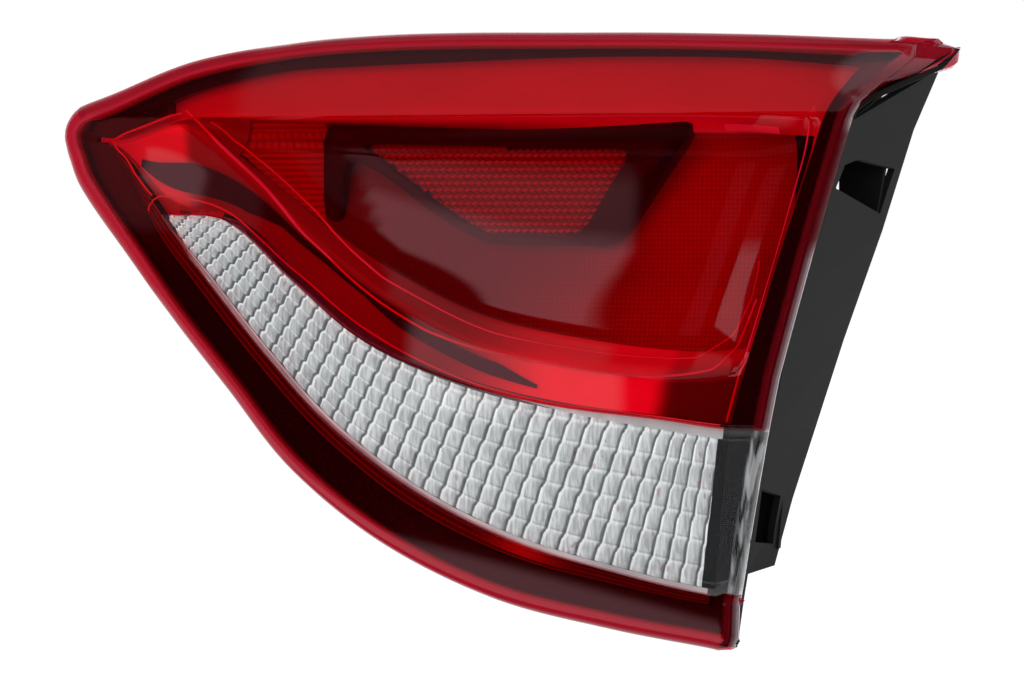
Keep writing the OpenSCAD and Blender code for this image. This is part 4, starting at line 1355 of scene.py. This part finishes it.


# %% [markdown]
# The three faces of a real cell don't look alike: seen from one side, one of
# them catches the light and the others stay darker. That light and shade is
# painted: a number on the faces holds it, and every copy keeps it.

# %% Honeycomb of cells
CUBES_DEPTH, FIRST_ROW = -66.5, 36
ROW_PITCH = CELL * math.sqrt(3) / 2
bm = bmesh.new()
facet_shade = bm.faces.layers.float.new("facet_shade")
one_cell(bm)
bm.faces.ensure_lookup_table()
# Painted shade of each face: dark, middle and lit.
for shade, f in zip((0.0, 0.25, 1.0), sorted(
        bm.faces, key=lambda f: (f.normal.z, f.normal.x))):
    f[facet_shade] = shade
pattern = bm.verts[:] + bm.edges[:] + bm.faces[:]
cells = 0
for q in range(-2, 18):
    for p in range(-24, 25):
        x = (p + (q % 2) / 2) * CELL
        z = FIRST_ROW + q * ROW_PITCH
        if not inside(REFLEX, x, z):
            continue
        copy = bmesh.ops.duplicate(bm, geom=pattern)["geom"]
        verts = [g for g in copy if isinstance(g, bmesh.types.BMVert)]
        bmesh.ops.translate(bm, verts=verts,
                            vec=Vector((x, CUBES_DEPTH, z)) * MM)
        cells += 1
bmesh.ops.delete(bm, geom=pattern, context="VERTS")
bmesh.ops.remove_doubles(bm, verts=bm.verts, dist=0.02 * MM)
print(cells, "corner-cube cells")
finish_piece(bm, "reflex_cubes", red_cubes,
             ["reflex_reflector"], 0.2)

# %% [markdown]
# ## The reversing optic
# Behind the clear window stands a bright optic of upright flutes, crossed by
# rows of pillows. It is one sheet on the face whose depth is written as a
# wave: a round flute between sharp grooves, higher where each pillow swells.

# %% Flutes and pillows
FLUTES, PILLOW_ROWS = 38, 6.5
OPTIC_IN, OPTIC_OUT = WINDOW_IN + 0.02, 7.86
OPTIC_BACK, FLUTE_HIGH, SWELL_HIGH = 5.2, 1.15, 0.45


def flute_phase(s, t):
    """Where a point lies across its flute and up its pillow, both from 0 to
    1. Each pillow of a flute stands a little outboard of the one below."""
    up = (t - WINDOW_LOW) * PILLOW_ROWS
    stair = np.floor(up) + ease((up % 1.0 - 0.68) / 0.32)
    lean = 0.12 + 0.14 * (1 - ease((s - 1) / 4))
    along = s - OPTIC_IN - lean * (stair / PILLOW_ROWS - 0.5)
    return (along / (OPTIC_OUT - OPTIC_IN) * FLUTES) % 1.0, up % 1.0


def flute_depth(s, t):
    """Millimetres behind the face: half an ellipse for each flute."""
    u, up = flute_phase(s, t)
    crest = np.sqrt(np.clip(1 - (2 * u - 1) ** 2, 0, 1))
    swell = FLUTE_HIGH + SWELL_HIGH * np.sin(math.pi * up)
    return OPTIC_BACK - crest * swell


def optic_warp(s, t):
    """Rounds the inner end as the window's is, and the outer end not."""
    return s + end_round(t) * ease((2.6 - s) / 1.4), t


print(FLUTES, "flutes of", round(PILLOW_ROWS, 1), "pillows")

# %% [markdown]
# The real optic mirrors a bright room in thousands of small curves. That is
# too fine to leave to mirror rays, so its light and shade are painted: how
# bright a place looks is worked out from where it lies on its pillow and kept
# on the vertices, and the bright places also glow a little. Fine streaks and a
# few red specks, painted reflections of the lens round it, break it up.

# %% Light on the flutes
def flute_light(s, t):
    """Painted light and shade of the optic: a white highlight down one side
    of each flute, a dark painted shade down the other, and a dark line of
    painted shade under each shoulder."""
    u, up = flute_phase(s, t)
    body = 0.74 - 0.14 * u + 0.6 * ease((0.2 - u) / 0.1)
    body += 0.2 * ease((up - 0.86) / 0.1) - 0.22 * ease((0.12 - up) / 0.1)
    shaded = 1 - 0.12 * ease((4.5 - s) / 1.5)
    return np.clip(body * shaded * (1 - 0.74 * ease((u - 0.8) / 0.1)), 0, 1.3)


silver, tree = new_finish("silver_optic")
cloud = noise(tree, 140.0, 2.0)
light = mark(tree, "light")
specks = noise(tree, 420.0, 1.0, (1, 1, 0.6)).between(0.70, 0.74)
streaks = noise(tree, 900.0, 1.0, (1, 1, 0.15)).between(0.3, 0.7)
# Painted shade and painted highlight colours of the optic.
OPTIC_SHADE, OPTIC_HIGHLIGHT = (0.05, 0.06, 0.07, 1), (0.97, 0.99, 1.0, 1)
metal = mix_colour(tree, light * (0.62 + streaks * 0.76), OPTIC_SHADE, OPTIC_HIGHLIGHT)
show(tree, principled(tree, {
    "Base Color": mix_colour(tree, specks * 0.6, metal, (0.4, 0.13, 0.14, 1)),
    "Metallic": 0.1,
    "Roughness": 0.12 + cloud * 0.12,
    # The bright places glow a little: a painted glow.
    "Emission Color": mix_colour(tree, light ** 2, (0, 0, 0, 1), OPTIC_HIGHLIGHT),
    "Emission Strength": 0.3,
    "Normal": bump(tree, streaks, 0.04 * MM, 0.4)}))

bm = bmesh.new()
bm.verts.layers.float.new("light")
sheet(bm, list(np.linspace(OPTIC_IN, OPTIC_OUT, FLUTES * 16 + 1)),
      list(np.linspace(WINDOW_LOW + 0.03, WINDOW_TOP - 0.03, 80)),
      flute_depth, optic_warp)
paint(bm, "light", flute_light)
turn_to_front(bm)
finish_piece(bm, "reversing_optic", silver,
             ["reverse_optic"], 0.9)

# %% [markdown]
# Below the window runs a dark red border with three thin beads, with a
# painted pink highlight on their crests. It is a sheet whose depth is a wave
# across its rows, and the same wave says where the highlight is painted.

# %% Border of the window
BORDER_BACK, BEAD_HIGH = 4.9, 0.7
border, tree = new_finish("window_border")
show(tree, principled(tree, {
    # Painted highlight: pink on the crests of the beads.
    "Base Color": mix_colour(tree, mark(tree, "bead_highlight"), (0.1, 0.01, 0.015, 1),
                             (0.9, 0.4, 0.45, 1)),
    "Metallic": 0.3,
    "Roughness": 0.12 + noise(tree, 300.0, 2.0) * 0.08}))


def beads(s, t):
    """0 between the beads and 1 on their crests."""
    return np.clip(np.cos((t - 1.1) * 2 * math.pi / 0.28), 0, 1) ** 2


def bead_light(s, t):
    """Painted highlight: the two beads next to the window are brighter, and one patch is.
    """
    patch = np.exp(-((s - 6.1) / 0.3) ** 2) * (t > 1.25)
    return np.maximum(beads(s, t) ** 2 * (0.5 + 0.5 * (t > 1.72)), 0.8 * patch)


bm = bmesh.new()
bm.verts.layers.float.new("bead_highlight")
sheet(bm, spread([0.45, 1.0, 7.95], 0.07), spread([1.02, 2.03], 0.02),
      lambda s, t: BORDER_BACK - BEAD_HIGH * beads(s, t), round_window_end)
paint(bm, "bead_highlight", bead_light)
turn_to_front(bm)
finish_piece(bm, "window_border", border)

# %% [markdown]
# Both long edges of the window show as white lines, where the clear plastic
# is seen through its cut edge. They are two narrow strips just under it.

# %% White edges of the window
white_edge = gloss_finish("white_edge", (0.95, 0.92, 0.93), 0.15, 0.3)
EDGE_OUT, EDGE_BACK = 7.93, 3.4


def edge_strip(name, inner, parts, rows):
    """A strip from station inner outwards, over rows(s, share across)."""
    bm = bmesh.new()
    sheet(bm, spread([inner, EDGE_OUT], 0.05),
          list(np.linspace(0, 1, parts)), EDGE_BACK,
          lambda s, v: (s, rows(s, v)))
    turn_to_front(bm)
    finish_piece(bm, name, white_edge)


edge_strip("window_top_edge", 4.6, 7,
           lambda s, v: 3.02 - 0.085 * v * ease((s - 4.6) / 2.6))
edge_strip("window_low_edge", 1.3, 5, lambda s, v: 2.0 + 0.03 * v)

# %% [markdown]
# ## Finishes of the carried-over solids
# The housing and the parts on its back keep their packed shapes. Each gets a
# finish that shows what it is made of: spark-eroded black plastic, rubber,
# foam, zinc plate, brass and glass.

# %% Finishes for small parts
def matt_finish(name, colour, roughness, grain_size, relief):
    """Moulded matt plastic with the fine pits of a spark-eroded mould."""
    finish, tree = new_finish(name)
    cloud = noise(tree, 12.0, 4.0)
    pits = noise(tree, grain_size, 3.0)
    light = tuple(min(1, c * 1.35) for c in colour) + (1,)
    show(tree, principled(tree, {
        "Base Color": mix_colour(tree, cloud * 0.6 + pits * 0.4,
                                 tuple(colour) + (1,), light),
        "Roughness": roughness + pits * 0.15,
        "Specular IOR Level": 0.1,
        "Normal": bump(tree, pits, relief)}))
    return finish


def metal_finish(name, colour, roughness, brushed=(1, 1, 1)):
    """Metal with fine lines; brushed stretches them along an axis."""
    finish, tree = new_finish(name)
    lines = noise(tree, 500.0, 3.0, brushed)
    dull = tuple(c * 0.75 for c in colour) + (1,)
    show(tree, principled(tree, {
        "Base Color": mix_colour(tree, lines, dull, tuple(colour) + (1,)),
        "Metallic": 1.0,
        "Roughness": roughness + lines * 0.2,
        "Normal": bump(tree, lines, 0.03 * MM, 0.3)}))
    return finish


def glass_finish(name, tint):
    """Thin clear glass, smeared a little."""
    finish, tree = new_finish(name)
    clear = node(tree, "ShaderNodeBsdfTransparent", {}, {"Color": tint})
    mirror = principled(tree, {"Base Color": (1, 1, 1, 1), "Metallic": 1.0,
                               "Roughness": 0.02})
    smear = noise(tree, 80.0, 2.0) * 0.03
    show(tree, mix_shader(tree, polish(tree) + smear, clear, mirror))
    return finish


print("finishes for plastic, metal and glass are ready")

# %% [markdown]
# The bowls behind the bulbs are metallised plastic, nearly a mirror. Studs
# and screws are zinc-plated, the blades are brass, and the three holders share
# one grey plastic, one orange seal and one glass.

# %% Dress the solids
dress = {
    "housing": matt_finish("housing_black", (0.013, 0.0133, 0.0133), 0.6,
                           2200.0, 0.06 * MM),
    "lens_seal": matt_finish("seal_rubber", (0.012, 0.012, 0.012), 0.6,
                             900.0, 0.03 * MM),
    "body_gasket": matt_finish("gasket_foam", (0.03, 0.03, 0.031), 0.85,
                               700.0, 0.3 * MM),
    "boss_seals": matt_finish("boss_foam", (0.035, 0.035, 0.036), 0.85,
                              700.0, 0.3 * MM),
    "tail_reflector": metal_finish("metallised_bowl", (0.85, 0.86, 0.88),
                                   0.05),
    "reverse_reflector": metal_finish("metallised_trough", (0.85, 0.86, 0.88),
                                      0.08),
    "mounting_studs": metal_finish("zinc_studs", (0.7, 0.7, 0.66), 0.25,
                                   (1, 12, 1)),
    "reflector_screws": metal_finish("zinc_screws", (0.66, 0.66, 0.62), 0.3),
    "contact_blades": metal_finish("brass_blades", (0.78, 0.6, 0.3), 0.25),
    "vent_caps": matt_finish("vent_grey", (0.05, 0.052, 0.056), 0.5, 1500.0,
                             0.04 * MM),
}
holder_grey = matt_finish("holder_grey", (0.06, 0.062, 0.07), 0.42, 1800.0,
                          0.04 * MM)
holder_seal = matt_finish("holder_seal", (0.5, 0.16, 0.04), 0.55, 900.0,
                          0.03 * MM)
bulb_glass = glass_finish("bulb_glass", (0.97, 0.97, 0.97, 1))
for which in ("stop", "tail", "reverse"):
    dress[which + "_holder"] = holder_grey
    dress[which + "_holder_seal"] = holder_seal
    dress[which + "_bulb"] = bulb_glass
for name, finish in dress.items():
    mesh = nodes[name].data
    mesh.materials.clear()
    mesh.materials.append(finish)
print(len(dress), "solids dressed")

# %% [markdown]
